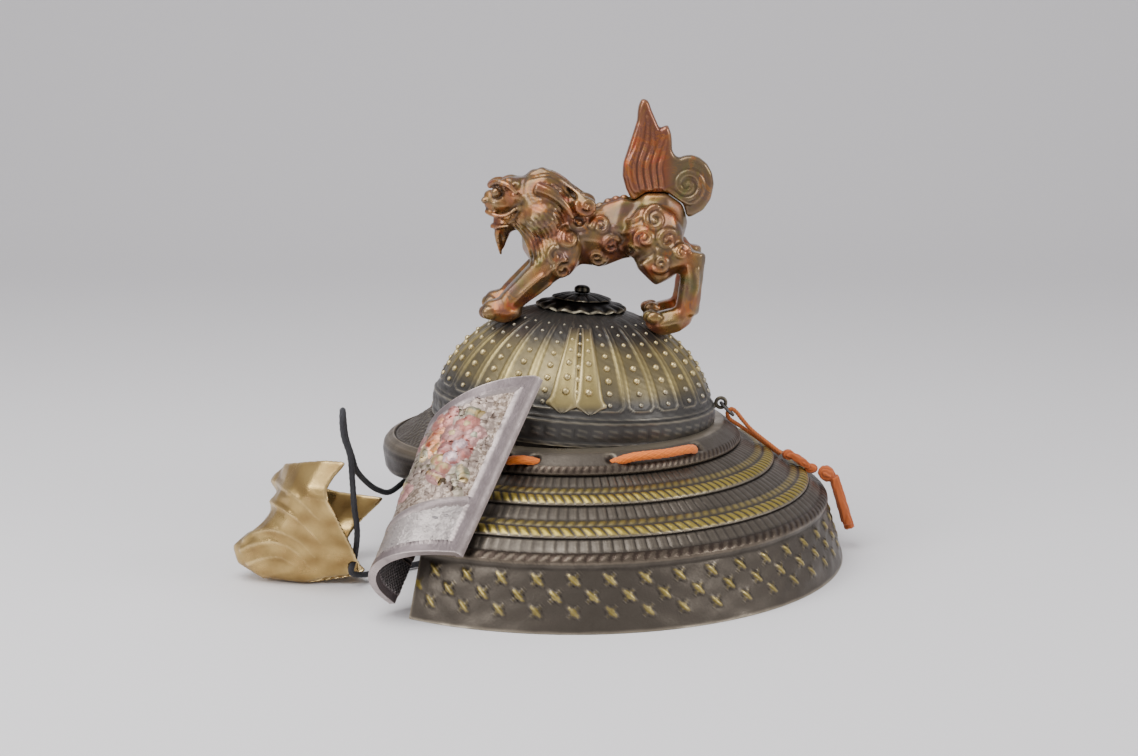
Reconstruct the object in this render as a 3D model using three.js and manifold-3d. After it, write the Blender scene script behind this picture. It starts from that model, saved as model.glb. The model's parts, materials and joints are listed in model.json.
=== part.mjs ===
// A cast ornamental samurai helmet with its half-mask: a ribbed bowl on a stepped neck guard,
// folded side plates, a brim, a lion standing on the crown, a rear cord with a tassel,
// and a face mask tied on by a cord and lying on the ground in front.
// Millimetres. +Z is up, the helmet faces -Y, and its left side is +X.
import * as THREE from "three";
import { mergeVertices } from "three/addons/utils/BufferGeometryUtils.js";
import Module from "manifold-3d";

const wasm = await Module();
wasm.setup();

// ---- Driving dimensions ----------------------------------------------------
const GAP = 0.4;                  // clearance between touching pieces
const RAD = Math.PI / 180;

const GUARD_WIDEN = 1.07;         // the guard is wider from side to side than from front to back
const GUARD_FRONT = 57;           // angle from the front at which each end of the guard stands
const GUARD_STEPS = 30;

const SEAT_Z = 79;                // height of the guard's top, which carries the bowl
const BOWL_RADIUS = 83;
const BOWL_RISE = 69;             // from the seat to the crown
const BOWL_WALL = 4;
const BOWL_TILT = 4 * RAD;        // the bowl leans back
const BOWL_Y = 0;
const PANELS = 26;                // plates round the bowl, each between two raised ribs
const RIB_RAISE = 1.1;
const BAND_HEIGHT = 15;           // the plain band round the bowl's foot

const BRIM_CENTRE_Y = -19;        // the brim's edge is an arc about this point
const BRIM_RADIUS = 93;
const BRIM_SPREAD = 47;           // half the angle that the brim takes up
const BRIM_DROP = 17;             // depth of its turned-down wall

const LACE_RADIUS = 2.5;
const TASSEL_CORD_RADIUS = 1.25;
const MASK_CORD_RADIUS = 1.7;

const PLATE_WALL = 4.6;
const PLATE_BORDER = 6;           // width of its raised border
const PLATE_BORDER_RAISE = 1.2;
const PLATE_LEAN = 42.4 * RAD;    // from the vertical
const PLATE_SKEW = 0.38;          // the plate also runs back as it rises
const PLATE_NARROW = 0.13;         // share of its width that it loses towards the foot
const PLATE_FOOT = [155, -61, 37];

const MASK_WALL = 2.6;

// ---- Solids ----------------------------------------------------------------
// A closed body from points and triangles, turned right side out.
function closedBody(points, triangles) {
  const position = new Float32Array(points.flatMap((p) => [p.x, p.y, p.z]));
  let geometry = new THREE.BufferGeometry();
  geometry.setAttribute("position", new THREE.BufferAttribute(position, 3));
  geometry.setIndex(triangles.flat());
  geometry = mergeVertices(geometry, 1e-4);
  const index = Array.from(geometry.index.array);
  const spot = geometry.attributes.position;
  const a = new THREE.Vector3();
  const b = new THREE.Vector3();
  const c = new THREE.Vector3();
  const kept = [];
  let volume = 0;
  for (let i = 0; i < index.length; i += 3) {
    const [p, q, r] = index.slice(i, i + 3);
    if (p === q || q === r || r === p) continue;
    kept.push([p, q, r]);
    a.fromBufferAttribute(spot, p);
    b.fromBufferAttribute(spot, q);
    c.fromBufferAttribute(spot, r);
    volume += a.dot(b.cross(c));
  }
  if (volume < 0) kept.forEach((triangle) => triangle.reverse());
  geometry.setIndex(kept.flat());
  return geometry;
}

// Only positions, with shared points merged.
function bare(geometry) {
  const copy = geometry.clone();
  copy.deleteAttribute("normal");
  copy.deleteAttribute("uv");
  return mergeVertices(copy, 1e-4);
}

function toSolid(geometry) {
  const mesh = bare(geometry);
  return new wasm.Manifold(new wasm.Mesh({
    numProp: 3,
    vertProperties: new Float32Array(mesh.attributes.position.array),
    triVerts: new Uint32Array(mesh.index.array),
  }));
}

function toGeometry(solid) {
  const mesh = solid.getMesh();
  const geometry = new THREE.BufferGeometry();
  geometry.setAttribute("position", new THREE.BufferAttribute(mesh.vertProperties, 3));
  geometry.setIndex(new THREE.BufferAttribute(mesh.triVerts, 1));
  return geometry;
}

function fuse(geometries) {
  return geometries.map(toSolid).reduce((whole, next) => whole.add(next));
}

// Joins closed outlines, one after another, into a solid. `flat` is the outline in its own
// plane, for the end caps; a ring that closes on itself has none.
function loft(sections, flat, closed = false) {
  const size = sections[0].length;
  const triangles = [];
  const spans = closed ? sections.length : sections.length - 1;
  for (let i = 0; i < spans; i++) {
    const next = (i + 1) % sections.length;
    for (let j = 0; j < size; j++) {
      const k = (j + 1) % size;
      triangles.push([i * size + j, next * size + j, next * size + k]);
      triangles.push([i * size + j, next * size + k, i * size + k]);
    }
  }
  if (!closed) {
    const last = (sections.length - 1) * size;
    const clockwise = THREE.ShapeUtils.isClockWise(flat);
    for (const face of THREE.ShapeUtils.triangulateShape(flat, [])) {
      const [p, q, r] = clockwise ? [face[2], face[1], face[0]] : face;
      triangles.push([p, q, r], [last + r, last + q, last + p]);
    }
  }
  return { points: sections.flat(), triangles };
}

// A wall between an outer and an inner grid of points, closed along its four edges.
function wall(outer, inner) {
  const rows = outer.length;
  const columns = outer[0].length;
  const skin = rows * columns;
  const at = (i, j) => i * columns + j;
  const triangles = [];
  for (let i = 0; i < rows - 1; i++) {
    for (let j = 0; j < columns - 1; j++) {
      const [a, b, c, d] = [at(i, j), at(i, j + 1), at(i + 1, j + 1), at(i + 1, j)];
      triangles.push([a, b, c], [a, c, d], [skin + c, skin + b, skin + a], [skin + d, skin + c, skin + a]);
    }
  }
  const edge = (a, b) => triangles.push([b, a, skin + a], [b, skin + a, skin + b]);
  for (let j = 0; j < columns - 1; j++) {
    edge(at(0, j), at(0, j + 1));
    edge(at(rows - 1, j + 1), at(rows - 1, j));
  }
  for (let i = 0; i < rows - 1; i++) {
    edge(at(i + 1, 0), at(i, 0));
    edge(at(i, columns - 1), at(i + 1, columns - 1));
  }
  return closedBody([...outer.flat(), ...inner.flat()], triangles);
}

const vector = ([x, y, z]) => new THREE.Vector3(x, y, z);

// A cord: a round section swept along a smooth route.
function tube(route, radius, steps, sides = 8) {
  const section = new THREE.Shape();
  for (let i = 0; i <= sides; i++) {
    const turn = (i / sides) * 2 * Math.PI;
    const [x, y] = [radius * Math.cos(turn), radius * Math.sin(turn)];
    if (i === 0) section.moveTo(x, y);
    else if (i < sides) section.lineTo(x, y);
  }
  section.closePath();
  const extrudePath = new THREE.CatmullRomCurve3(route.map(vector), false, "centripetal");
  const geometry = new THREE.ExtrudeGeometry(section, { steps, extrudePath, bevelEnabled: false });
  return bare(geometry);
}

function ellipsoid({ at, radii, pitch = 0, around = 6, down = 5 }) {
  const geometry = new THREE.SphereGeometry(1, around, down);
  geometry.scale(...radii);
  geometry.rotateX(pitch * RAD);
  geometry.translate(...at);
  return bare(geometry);
}

// A tapering round bar between two points.
function limb({ from, to, start, end, sides = 6 }) {
  const run = vector(to).sub(vector(from));
  const geometry = new THREE.CylinderGeometry(end, start, run.length(), sides, 1);
  geometry.translate(0, run.length() / 2, 0);
  geometry.applyQuaternion(new THREE.Quaternion().setFromUnitVectors(new THREE.Vector3(0, 1, 0), run.normalize()));
  geometry.translate(...from);
  return bare(geometry);
}

const mirrored = (geometry) => {
  const copy = geometry.clone();
  copy.scale(-1, 1, 1);
  const index = copy.index.array;
  for (let i = 0; i < index.length; i += 3) [index[i], index[i + 1]] = [index[i + 1], index[i]];
  return copy;
};

// ---- Cord routes -----------------------------------------------------------
// Angles are from the front, towards the left. The lace goes in and out of holes in the guard's
// top lame; each row is a point on it: the angle, and how far out it lies and how high.
const LACE_SIDE = [
  { angle: 62, out: 88.0, z: 68.0 },
  { angle: 66, out: 90.5, z: 71.5 },
  { angle: 70, out: 98.0, z: 75.5 },
  { angle: 74, out: 97.8, z: 76.2 },
  { angle: 78, out: 92.0, z: 73.5 },
  { angle: 82, out: 87.2, z: 69.5 },
  { angle: 91, out: 86.0, z: 68.5 },
  { angle: 100, out: 87.2, z: 69.5 },
  { angle: 104, out: 92.0, z: 73.5 },
  { angle: 109, out: 97.6, z: 77.2 },
  { angle: 121, out: 98.4, z: 77.6 },
  { angle: 132, out: 97.6, z: 77.2 },
  { angle: 137, out: 92.0, z: 73.5 },
  { angle: 141, out: 87.2, z: 69.5 },
  { angle: 160, out: 86.0, z: 68.5 },
];
const lacePoint = ({ angle, out, z }, side) => [
  side * out * Math.sin(angle * RAD) * GUARD_WIDEN,
  -out * Math.cos(angle * RAD),
  z,
];
const LACE_ROUTE = [
  ...LACE_SIDE.map((row) => lacePoint(row, 1)),
  lacePoint({ angle: 180, out: 86, z: 68.5 }, 1),
  ...LACE_SIDE.map((row) => lacePoint(row, -1)).reverse(),
];

// Through the ring and back: two strands from the bow knot, which lie one over the other at the
// ring and side by side on the guard.
const TASSEL_ROUTE = [
  [1.5, 123.5, 57.8],
  [1.6, 115, 64.4],
  [1.5, 105.4, 72.2],
  [0.8, 100.2, 78],
  [0.2, 96.8, 82.2],
  [0, 94, 84.2],
  [0, 91.9, 83.2],
  [-0.1, 91.4, 80.6],
  [-0.2, 93, 78],
  [-0.8, 97, 75.2],
  [-1.5, 104, 70.3],
  [-1.6, 114.4, 63],
  [-1.5, 123, 56.6],
];

// ---- Bowl ------------------------------------------------------------------
const bowlRadiusAt = (height) => BOWL_RADIUS * Math.sqrt(Math.max(0, 1 - (height / BOWL_RISE) ** 2));

// The bowl's own frame has its foot at z = 0; this leans it back and sets it on the guard.
function placeBowl(geometry) {
  geometry.rotateX(-BOWL_TILT);
  geometry.translate(0, BOWL_Y, SEAT_Z);
  return geometry;
}

// Relief is 1 along a rib and 0 on the plates. Ribs start above the foot band and fade out
// towards the crown.
const BOWL_ROWS = [
  { height: -9, relief: 0 },
  { height: BAND_HEIGHT - 1, relief: 0 },
  { height: BAND_HEIGHT, relief: 1 },
  { height: 27, relief: 1 },
  { height: 39, relief: 1 },
  { height: 50, relief: 1 },
  { height: 59, relief: 0.8 },
  { height: 65, relief: 0.5 },
  { height: 68.5, relief: 0.2 },
  { height: BOWL_RISE, relief: 0 },
];
const RIB_COLUMNS = [
  { share: 0, relief: 1 },
  { share: 0.18, relief: 0 },
  { share: 0.82, relief: 0 },
];
const HOLLOW_ROWS = [-9, 18, 36, 52, 61, BOWL_RISE - BOWL_WALL];
const HOLLOW_SIDES = 30;

function bowl() {
  const outline = (angle, rib) => {
    const ring = BOWL_ROWS.map(({ height, relief }) => {
      const foot = height < BAND_HEIGHT ? BOWL_RADIUS : bowlRadiusAt(height);
      return [foot + (height < BOWL_RISE ? RIB_RAISE * relief * rib : 0), height];
    });
    ring.push([0, -9]);
    return ring.map(([r, z]) => new THREE.Vector3(r * Math.sin(angle), -r * Math.cos(angle), z));
  };
  const sections = [];
  for (let panel = 0; panel < PANELS; panel++) {
    for (const { share, relief } of RIB_COLUMNS) {
      sections.push(outline(((panel + share) / PANELS) * 2 * Math.PI, relief));
    }
  }
  const { points, triangles } = loft(sections, null, true);
  const solid = toSolid(placeBowl(closedBody(points, triangles)));
  const shrink = 1 - BOWL_WALL / BOWL_RISE;
  const inside = HOLLOW_ROWS.map((height) => {
    const out = (BOWL_RADIUS - BOWL_WALL) / BOWL_RADIUS * bowlRadiusAt(Math.max(0, height) / shrink);
    return [out, height];
  });
  const hollow = toSolid(turned([[0, HOLLOW_ROWS[0]], ...inside], HOLLOW_SIDES));
  const ground = new THREE.BoxGeometry(300, 300, 60);
  ground.translate(0, 0, SEAT_Z + GAP - 30);
  return toGeometry(solid.subtract(hollow).subtract(toSolid(ground)).add(toSolid(rearLug())));
}

// Everything inside the bowl's outer face, grown a little, to trim what stands on it.
function bowlEnvelope(grow) {
  const profile = [new THREE.Vector2(0, -9), new THREE.Vector2(BOWL_RADIUS + RIB_RAISE + grow, -9)];
  const reach = (BOWL_RADIUS + RIB_RAISE + grow) / BOWL_RADIUS;
  for (const { height } of BOWL_ROWS.slice(2, -1)) {
    profile.push(new THREE.Vector2(bowlRadiusAt(height) * reach, height * reach));
  }
  profile.push(new THREE.Vector2(0, BOWL_RISE + RIB_RAISE * 0.3 + grow));
  const geometry = new THREE.LatheGeometry(profile, 48);
  geometry.rotateX(Math.PI / 2);
  return toSolid(placeBowl(geometry));
}

// An upright fin at the back of the bowl, with a hole for the ring.
const LUG_HOLE = [0, 87.4, 88];
const LUG_THICKNESS = 3.4;
function rearLug() {
  const shape = new THREE.Shape();
  shape.moveTo(80, SEAT_Z + GAP);
  shape.lineTo(88.5, SEAT_Z + GAP);
  shape.lineTo(89, 84);
  shape.absarc(LUG_HOLE[1], LUG_HOLE[2], 3.9, -0.5, Math.PI * 0.7, false);
  shape.lineTo(79, 95);
  shape.closePath();
  const hole = new THREE.Path();
  hole.absarc(LUG_HOLE[1], LUG_HOLE[2], 1.9, 0, 2 * Math.PI, true);
  shape.holes.push(hole);
  const geometry = new THREE.ExtrudeGeometry(shape, {
    depth: LUG_THICKNESS, bevelEnabled: false, curveSegments: 6,
  });
  geometry.translate(0, 0, -LUG_THICKNESS / 2);
  geometry.applyMatrix4(new THREE.Matrix4().makeBasis(
    new THREE.Vector3(0, 1, 0), new THREE.Vector3(0, 0, 1), new THREE.Vector3(1, 0, 0)));
  return bare(geometry);
}

const RING_RADIUS = 5.2;
const RING_WIRE = 0.9;
function rearRing() {
  const geometry = new THREE.TorusGeometry(RING_RADIUS, RING_WIRE, 6, 18);
  geometry.rotateX(-45 * RAD);
  const drop = RING_RADIUS * Math.SQRT1_2;
  geometry.translate(LUG_HOLE[0], LUG_HOLE[1] + drop, LUG_HOLE[2] - drop);
  return bare(geometry);
}

// ---- Crown finial ----------------------------------------------------------
// Profiles are radius against height over the bowl's foot.
const FINIAL_SEAT = [[0, 69.8], [14, 69], [25, 66.3], [26.5, 65.9], [27, 67.2], [17, 71], [0, 71.2]];
const FINIAL_KNOB = [[0, 74.8], [3.4, 74.6], [4.8, 76.2], [4.4, 78], [2.6, 79.2], [0, 79.6]];
const PETALS = 14;
const PETAL_FOOT = 71.6;
const PETAL_TOP = 74.2;

function turned(profile, segments) {
  const outline = profile.map(([r, z]) => new THREE.Vector2(r, z));
  const geometry = new THREE.LatheGeometry(outline, segments);
  geometry.rotateX(Math.PI / 2);
  return bare(placeBowl(geometry));
}

function finialPetals() {
  const shape = new THREE.Shape();
  const steps = PETALS * 3;
  for (let i = 0; i < steps; i++) {
    const turn = (i / steps) * 2 * Math.PI;
    const reach = 15.6 + 1.6 * Math.abs(Math.cos(turn * PETALS / 2));
    if (i === 0) shape.moveTo(reach, 0);
    else shape.lineTo(reach * Math.cos(turn), reach * Math.sin(turn));
  }
  shape.closePath();
  const geometry = new THREE.ExtrudeGeometry(shape, { depth: 3, bevelEnabled: false });
  const spot = geometry.attributes.position;
  for (let i = 0; i < spot.count; i++) {
    const high = spot.getZ(i) > 1;
    const shrink = high ? 0.36 : 1;
    spot.setXYZ(i, spot.getX(i) * shrink, spot.getY(i) * shrink, high ? PETAL_TOP : PETAL_FOOT);
  }
  return bare(placeBowl(geometry));
}

// ---- Neck guard ------------------------------------------------------------
// Outer face from the top down: radius to the back, and height.
const GUARD_OUTER = [
  { out: 88.5, z: SEAT_Z },
  { out: 90.5, z: 78 },
  { out: 96.2, z: 73.6 },
  { out: 98.6, z: 71.8 },
  { out: 98.8, z: 68.8 },
  { out: 97.6, z: 67.6 },
  { out: 106.5, z: 63.6 },
  { out: 107.6, z: 64.4 },
  { out: 118.6, z: 57.8 },
  { out: 118.2, z: 56.4 },
  { out: 127.4, z: 51.2 },
  { out: 128.4, z: 52.2 },
  { out: 139.2, z: 45.6 },
  { out: 138.8, z: 44.4 },
  { out: 145.6, z: 39 },
  { out: 148.6, z: 38.2 },
  { out: 150.6, z: 35.4 },
  { out: 149.4, z: 31.6 },
  { out: 160, z: 0 },
];
const GUARD_INNER = [
  { out: 155.8, z: 0 },
  { out: 145, z: 30.6 },
  { out: 94, z: 66.4 },
  { out: 87.5, z: 73.8 },
  { out: 79, z: 74.6 },
  { out: 79, z: SEAT_Z },
];

function guardPoint(out, z, angle) {
  return new THREE.Vector3(out * GUARD_WIDEN * Math.sin(angle), -out * Math.cos(angle), z);
}

function neckGuard() {
  const outline = [...GUARD_OUTER, ...GUARD_INNER];
  const flat = outline.map(({ out, z }) => new THREE.Vector2(out, z));
  const sections = [];
  for (let i = 0; i <= GUARD_STEPS; i++) {
    const angle = (GUARD_FRONT + (360 - 2 * GUARD_FRONT) * (i / GUARD_STEPS)) * RAD;
    sections.push(outline.map(({ out, z }) => guardPoint(out, z, angle)));
  }
  const { points, triangles } = loft(sections, flat);
  let solid = toSolid(closedBody(points, triangles));
  for (const side of [1, -1]) {
    const route = LACE_SIDE.map((row) => lacePoint(row, side));
    solid = solid.subtract(toSolid(tube(route, LACE_RADIUS + 2 * GAP, 26, 7)));
  }
  return toGeometry(solid);
}

// ---- Brim ------------------------------------------------------------------
function brim() {
  const flat = [];
  const sections = [];
  const steps = 14;
  for (let i = 0; i <= steps; i++) {
    const angle = BRIM_SPREAD * (2 * i / steps - 1) * RAD;
    const away = BRIM_CENTRE_Y * Math.cos(angle);
    const edge = -away + Math.sqrt(BRIM_RADIUS ** 2 - (BRIM_CENTRE_Y * Math.sin(angle)) ** 2);
    const root = BOWL_RADIUS - 6;
    const fall = (edge - root) * 0.5;
    const top = 84.5 - 2.5 * (Math.abs(i / steps - 0.5) * 2) ** 2;
    const rim = top - fall;
    const drop = BRIM_DROP * (1 - 0.35 * (Math.abs(i / steps - 0.5) * 2) ** 2);
    const outline = [
      [root, top + 1],
      [root + 8, top - 1],
      [edge - 7, rim + 3.4],
      [edge - 6, rim + 4.6],
      [edge - 2.5, rim + 3],
      [edge, rim],
      [edge + 0.6, rim - 4],
      [edge - 1, rim - drop + 3],
      [edge - 4, rim - drop],
      [edge - 7, rim - drop + 1],
      [edge - 5.4, rim - drop + 5],
      [edge - 5, rim - 3.4],
      [edge - 8, rim - 0.8],
      [root, top - 4],
    ];
    if (i === 0) flat.push(...outline.map(([out, z]) => new THREE.Vector2(out, z)));
    sections.push(outline.map(([out, z]) => new THREE.Vector3(out * Math.sin(angle), -out * Math.cos(angle), z)));
  }
  const { points, triangles } = loft(sections, flat);
  return toGeometry(toSolid(closedBody(points, triangles)).subtract(bowlEnvelope(GAP)));
}

// ---- Folded side plates ----------------------------------------------------
// The section across a plate, from its free edge round the fold to its inner end: how far forward
// each point is, how far it stands in from the outer face, and where the plate ends up and down.
const PLATE_SECTION = [
  { forward: 0, inward: 0, foot: 0, head: 108 },
  { forward: PLATE_BORDER, inward: -0.6, foot: 0, head: 107.4 },
  { forward: PLATE_BORDER + 1, inward: -0.7, foot: 0, head: 107.2 },
  { forward: 16, inward: -1.4, foot: -0.2, head: 105.4 },
  { forward: 25, inward: -1.2, foot: -0.8, head: 102 },
  { forward: 33, inward: 0.6, foot: -1.6, head: 97.4 },
  { forward: 40, inward: 4.4, foot: -2.6, head: 91.5 },
  { forward: 44.6, inward: 10, foot: -3.8, head: 86 },
  { forward: 46, inward: 16.5, foot: -5, head: 82 },
  { forward: 44.4, inward: 23.5, foot: -6.4, head: 79 },
  { forward: 40, inward: 30.5, foot: -7.8, head: 77 },
  { forward: 34.5, inward: 36.5, foot: -9, head: 76 },
];
const PLATE_ROWS = [0, 0.06, 0.07, 0.27, 0.29, 0.5, 0.7, 0.92, 0.94, 1];
const PLATE_RAISED_ROWS = [0, 1, 3, 4, 8, 9];

function plateFrame() {
  return {
    foot: vector(PLATE_FOOT),
    outward: new THREE.Vector3(Math.cos(PLATE_LEAN), 0, Math.sin(PLATE_LEAN)),
    rise: new THREE.Vector3(-Math.sin(PLATE_LEAN), PLATE_SKEW, Math.cos(PLATE_LEAN)),
    forward: new THREE.Vector3(0, -1, 0),
  };
}

function sidePlate() {
  const { foot, outward, rise, forward } = plateFrame();
  const spine = PLATE_SECTION.map(({ forward: f, inward }) => new THREE.Vector2(f, -inward));
  const normals = spine.map((_, i) => {
    const before = spine[Math.max(0, i - 1)];
    const after = spine[Math.min(spine.length - 1, i + 1)];
    const run = after.clone().sub(before).normalize();
    return new THREE.Vector2(-run.y, run.x);
  });
  const grid = (offset, raised) => PLATE_ROWS.map((share, row) => PLATE_SECTION.map((column, i) => {
    const border = i < 2 || PLATE_RAISED_ROWS.includes(row);
    const lift = offset + (raised && border && i < 9 ? PLATE_BORDER_RAISE : 0);
    const across = spine[i].clone().addScaledVector(normals[i], lift);
    const up = column.foot + (column.head - column.foot) * share;
    const narrow = 1 - PLATE_NARROW * (1 - share);
    return foot.clone()
      .addScaledVector(forward, across.x * narrow)
      .addScaledVector(outward, across.y)
      .addScaledVector(rise, up);
  }));
  return wall(grid(0, true), grid(-PLATE_WALL, false));
}

// ---- Lion ------------------------------------------------------------------
// Rounded masses on the lion's middle line: place, half sizes, and pitch (nose up is positive).
const LION_BODY = [
  { mass: "chest", at: [0, -10, 186], radii: [19, 21, 24], pitch: 20 },
  { mass: "ribs", at: [0, 12, 187], radii: [17, 24, 20], pitch: -8 },
  { mass: "loin", at: [0, 30, 192], radii: [16, 20, 20], pitch: -14 },
  { mass: "rump", at: [0, 48, 195], radii: [18, 19, 21], pitch: 0 },
  { mass: "mane", at: [0, -16, 203], radii: [21, 21, 23], pitch: 20 },
  { mass: "skull", at: [0, -29, 211], radii: [15, 14, 13], pitch: 0 },
  { mass: "crest", at: [0, -15, 216], radii: [9, 15, 11], pitch: -24 },
  { mass: "muzzle", at: [0, -42, 206], radii: [10.5, 10.5, 9], pitch: -12 },
  { mass: "nose", at: [0, -48, 210], radii: [5.5, 4.5, 5], pitch: 0 },
  { mass: "jaw", at: [0, -38, 196], radii: [9, 9.5, 8], pitch: 20 },
];
// Masses on each side, given for the left.
const LION_SIDES = [
  { mass: "brow", at: [8, -37, 218], radii: [6, 6.5, 5], pitch: 10 },
  { mass: "ear", at: [14.5, -13, 211.5], radii: [4.5, 9, 5.5], pitch: 28 },
  { mass: "mane curl", at: [13, 6, 206], radii: [6, 8, 6.5], pitch: 0 },
  { mass: "cheek curl", at: [17, -17, 197], radii: [6, 10, 9], pitch: 20 },
  { mass: "shoulder", at: [14, -9, 178], radii: [10, 14, 17], pitch: -25 },
  { mass: "thigh", at: [13, 47, 187], radii: [12, 17, 23], pitch: 12 },
  { mass: "front paw", at: [20, -41, 146], radii: [9.5, 12.5, 8], pitch: -10 },
  { mass: "hind paw", at: [19, 55, 139.5], radii: [9.5, 15, 8.5], pitch: 14 },
];
const LION_LIMBS = [
  { limb: "front leg", from: [15, -11, 174], to: [20, -38, 150], start: 10.5, end: 7.5 },
  { limb: "lower thigh", from: [15, 50, 176], to: [19, 68, 178], start: 13, end: 7 },
  { limb: "shank", from: [19, 70, 180], to: [19.5, 65.5, 144], start: 7, end: 7.5 },
  { limb: "knee", from: [14, 46, 176], to: [17, 53, 163], start: 12, end: 7 },
];
const LION_BEARD = { from: [0, -40, 196], to: [0, -41.5, 178.5], start: 6.5, end: 1.2 };

function lionSolid(grow) {
  const grown = (row) => ellipsoid({ ...row, radii: row.radii.map((radius) => radius + grow) });
  const pieces = LION_BODY.map(grown);
  for (const row of LION_SIDES) {
    const left = grown(row);
    pieces.push(left, mirrored(left));
  }
  for (const row of LION_LIMBS) {
    const left = limb({ ...row, start: row.start + grow, end: row.end + grow });
    pieces.push(left, mirrored(left));
  }
  pieces.push(limb(LION_BEARD));
  return fuse(pieces);
}

function lion() {
  return toGeometry(lionSolid(0).subtract(bowlEnvelope(GAP)));
}

// The tail is a flat plume of two flames with a scroll behind them, set on the rump. The outline
// is that of its flat faces; the rounded rim stands out round it.
const TAIL_START = [44, 198];
const TAIL_OUTLINE = [
  { to: [36.6, 207], by: [40, 203] },
  { to: [30.6, 229], by: [28.4, 219] },
  { to: [38.6, 254], by: [34.6, 241] },
  { to: [40.4, 264.4], by: [38.6, 262] },
  { to: [43, 260.4], by: [42, 265] },
  { to: [49.8, 245.6], by: [46.8, 251.4] },
  { to: [53.6, 249.2], by: [52.6, 249.6] },
  { to: [55.4, 237], by: [55.6, 246] },
  { to: [61.4, 230.6], by: [56.6, 231.6] },
  { to: [72, 231.2], by: [67, 233.8] },
  { to: [79.8, 217.4], by: [79.2, 227.4] },
  { to: [68, 200], by: [79, 203.4] },
];
const TAIL_FLAT = 4;
const TAIL_RIM = 1.8;             // how far the rim stands out
const TAIL_ROUND = 2.8;           // depth of the rounding on each face

function tail() {
  const shape = new THREE.Shape();
  shape.moveTo(...TAIL_START);
  for (const { to, by } of TAIL_OUTLINE) shape.quadraticCurveTo(...by, ...to);
  shape.closePath();
  const geometry = new THREE.ExtrudeGeometry(shape, {
    depth: TAIL_FLAT, curveSegments: 3, bevelThickness: TAIL_ROUND, bevelSize: TAIL_RIM, bevelSegments: 2,
  });
  geometry.translate(0, 0, -TAIL_FLAT / 2);
  geometry.applyMatrix4(new THREE.Matrix4().makeBasis(
    new THREE.Vector3(0, 1, 0), new THREE.Vector3(0, 0, 1), new THREE.Vector3(1, 0, 0)));
  return toGeometry(toSolid(geometry).subtract(lionSolid(GAP)));
}

// ---- Rear tassel -----------------------------------------------------------
const TASSEL_BOW = [
  { at: [0, 127.8, 56.6], radii: [3.8, 3.6, 3.4] },
  { at: [1.8, 134.8, 53.4], radii: [2.8, 8, 2.8], pitch: -34 },
  { at: [-2.2, 135.2, 52.4], radii: [2.8, 8.4, 2.6], pitch: -34 },
  { at: [0, 141.6, 48.2], radii: [3.4, 4, 3.2] },
];
const TASSEL_HEAD = { at: [0, 151, 45], radii: [5.6, 5.4, 5], pitch: -30 };
// Locks of the skirt: the sideways and outward place of each lower end.
const TASSEL_LOCKS = [
  { side: -5.4, out: 164.2, z: 14.5 },
  { side: -1.8, out: 165.6, z: 11.5 },
  { side: 1.8, out: 165.2, z: 12 },
  { side: 5.4, out: 164, z: 15.5 },
];

function tasselBow() {
  return toGeometry(fuse(TASSEL_BOW.map(ellipsoid)));
}

function tassel() {
  const pieces = [ellipsoid(TASSEL_HEAD)];
  for (const { side, out, z } of TASSEL_LOCKS) {
    pieces.push(limb({ from: [side * 0.4, 155.4, 43], to: [side, out, z], start: 2.9, end: 3.1 }));
  }
  return toGeometry(fuse(pieces));
}

// ---- Face mask -------------------------------------------------------------
// A half mask for the nose, cheeks and chin, open behind. In its own frame the face looks along -Y
// and is upright. Each row is an arc from the face's middle line (front along Y, height) round to
// its back edge (side along X, rear along Y, height). The nose stands out from the row by "nose",
// and "full" is how far the arc swells sideways beyond a plain quarter ellipse. The right half's back edge stands
// further forward by "short".
const MASK_ARCS = [
  { front: 1, z: -2, nose: 0, side: 43.5, rear: 48.5, edge: 3.5, full: 0, short: 0 },
  { front: 2, z: -8, nose: 7, side: 43.5, rear: 47, edge: -1, full: 0, short: 0 },
  { front: 3, z: -13, nose: 9.5, side: 43.5, rear: 44.5, edge: -7, full: 0, short: 1 },
  { front: 4, z: -18, nose: 3, side: 43.5, rear: 43, edge: -14, full: 0, short: 3 },
  { front: 1, z: -25, nose: 0, side: 42, rear: 46, edge: -20, full: 0, short: 8 },
  { front: 3, z: -31, nose: 0, side: 38, rear: 50.5, edge: -24.5, full: 2, short: 12 },
  { front: 0, z: -38, nose: 0, side: 33, rear: 53.5, edge: -28, full: 4, short: 13 },
  { front: -7, z: -46, nose: 0, side: 27, rear: 56, edge: -31.5, full: 5, short: 12 },
  { front: -13, z: -55, nose: 0, side: 21, rear: 59.5, edge: -36, full: 4, short: 10 },
  { front: -7, z: -63, nose: 0, side: 16, rear: 62, edge: -39.5, full: 2, short: 7 },
  { front: 10, z: -67, nose: 0, side: 11.5, rear: 63.5, edge: -42, full: 1, short: 4 },
  { front: 36, z: -62, nose: 0, side: 8, rear: 65, edge: -44, full: 0, short: 1 },
  { front: 61, z: -50, nose: 0, side: 5, rear: 66.5, edge: -46, full: 0, short: 0 },
];
const MASK_TURNS = [0, 7, 15, 26, 40, 56, 73, 90];   // degrees from the middle line to the edge
const MASK_NOSE_HALF = 8;         // half width of the nose
const MASK_DIP = 3;               // the top edge dips this much over each cheek
const MASK_MOUTH = { z: -41, half: 14, tall: 5, reach: 13 };
const MASK_POSE = { pitch: -14, roll: -27, yaw: -10, at: [45, -163.5] };

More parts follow.
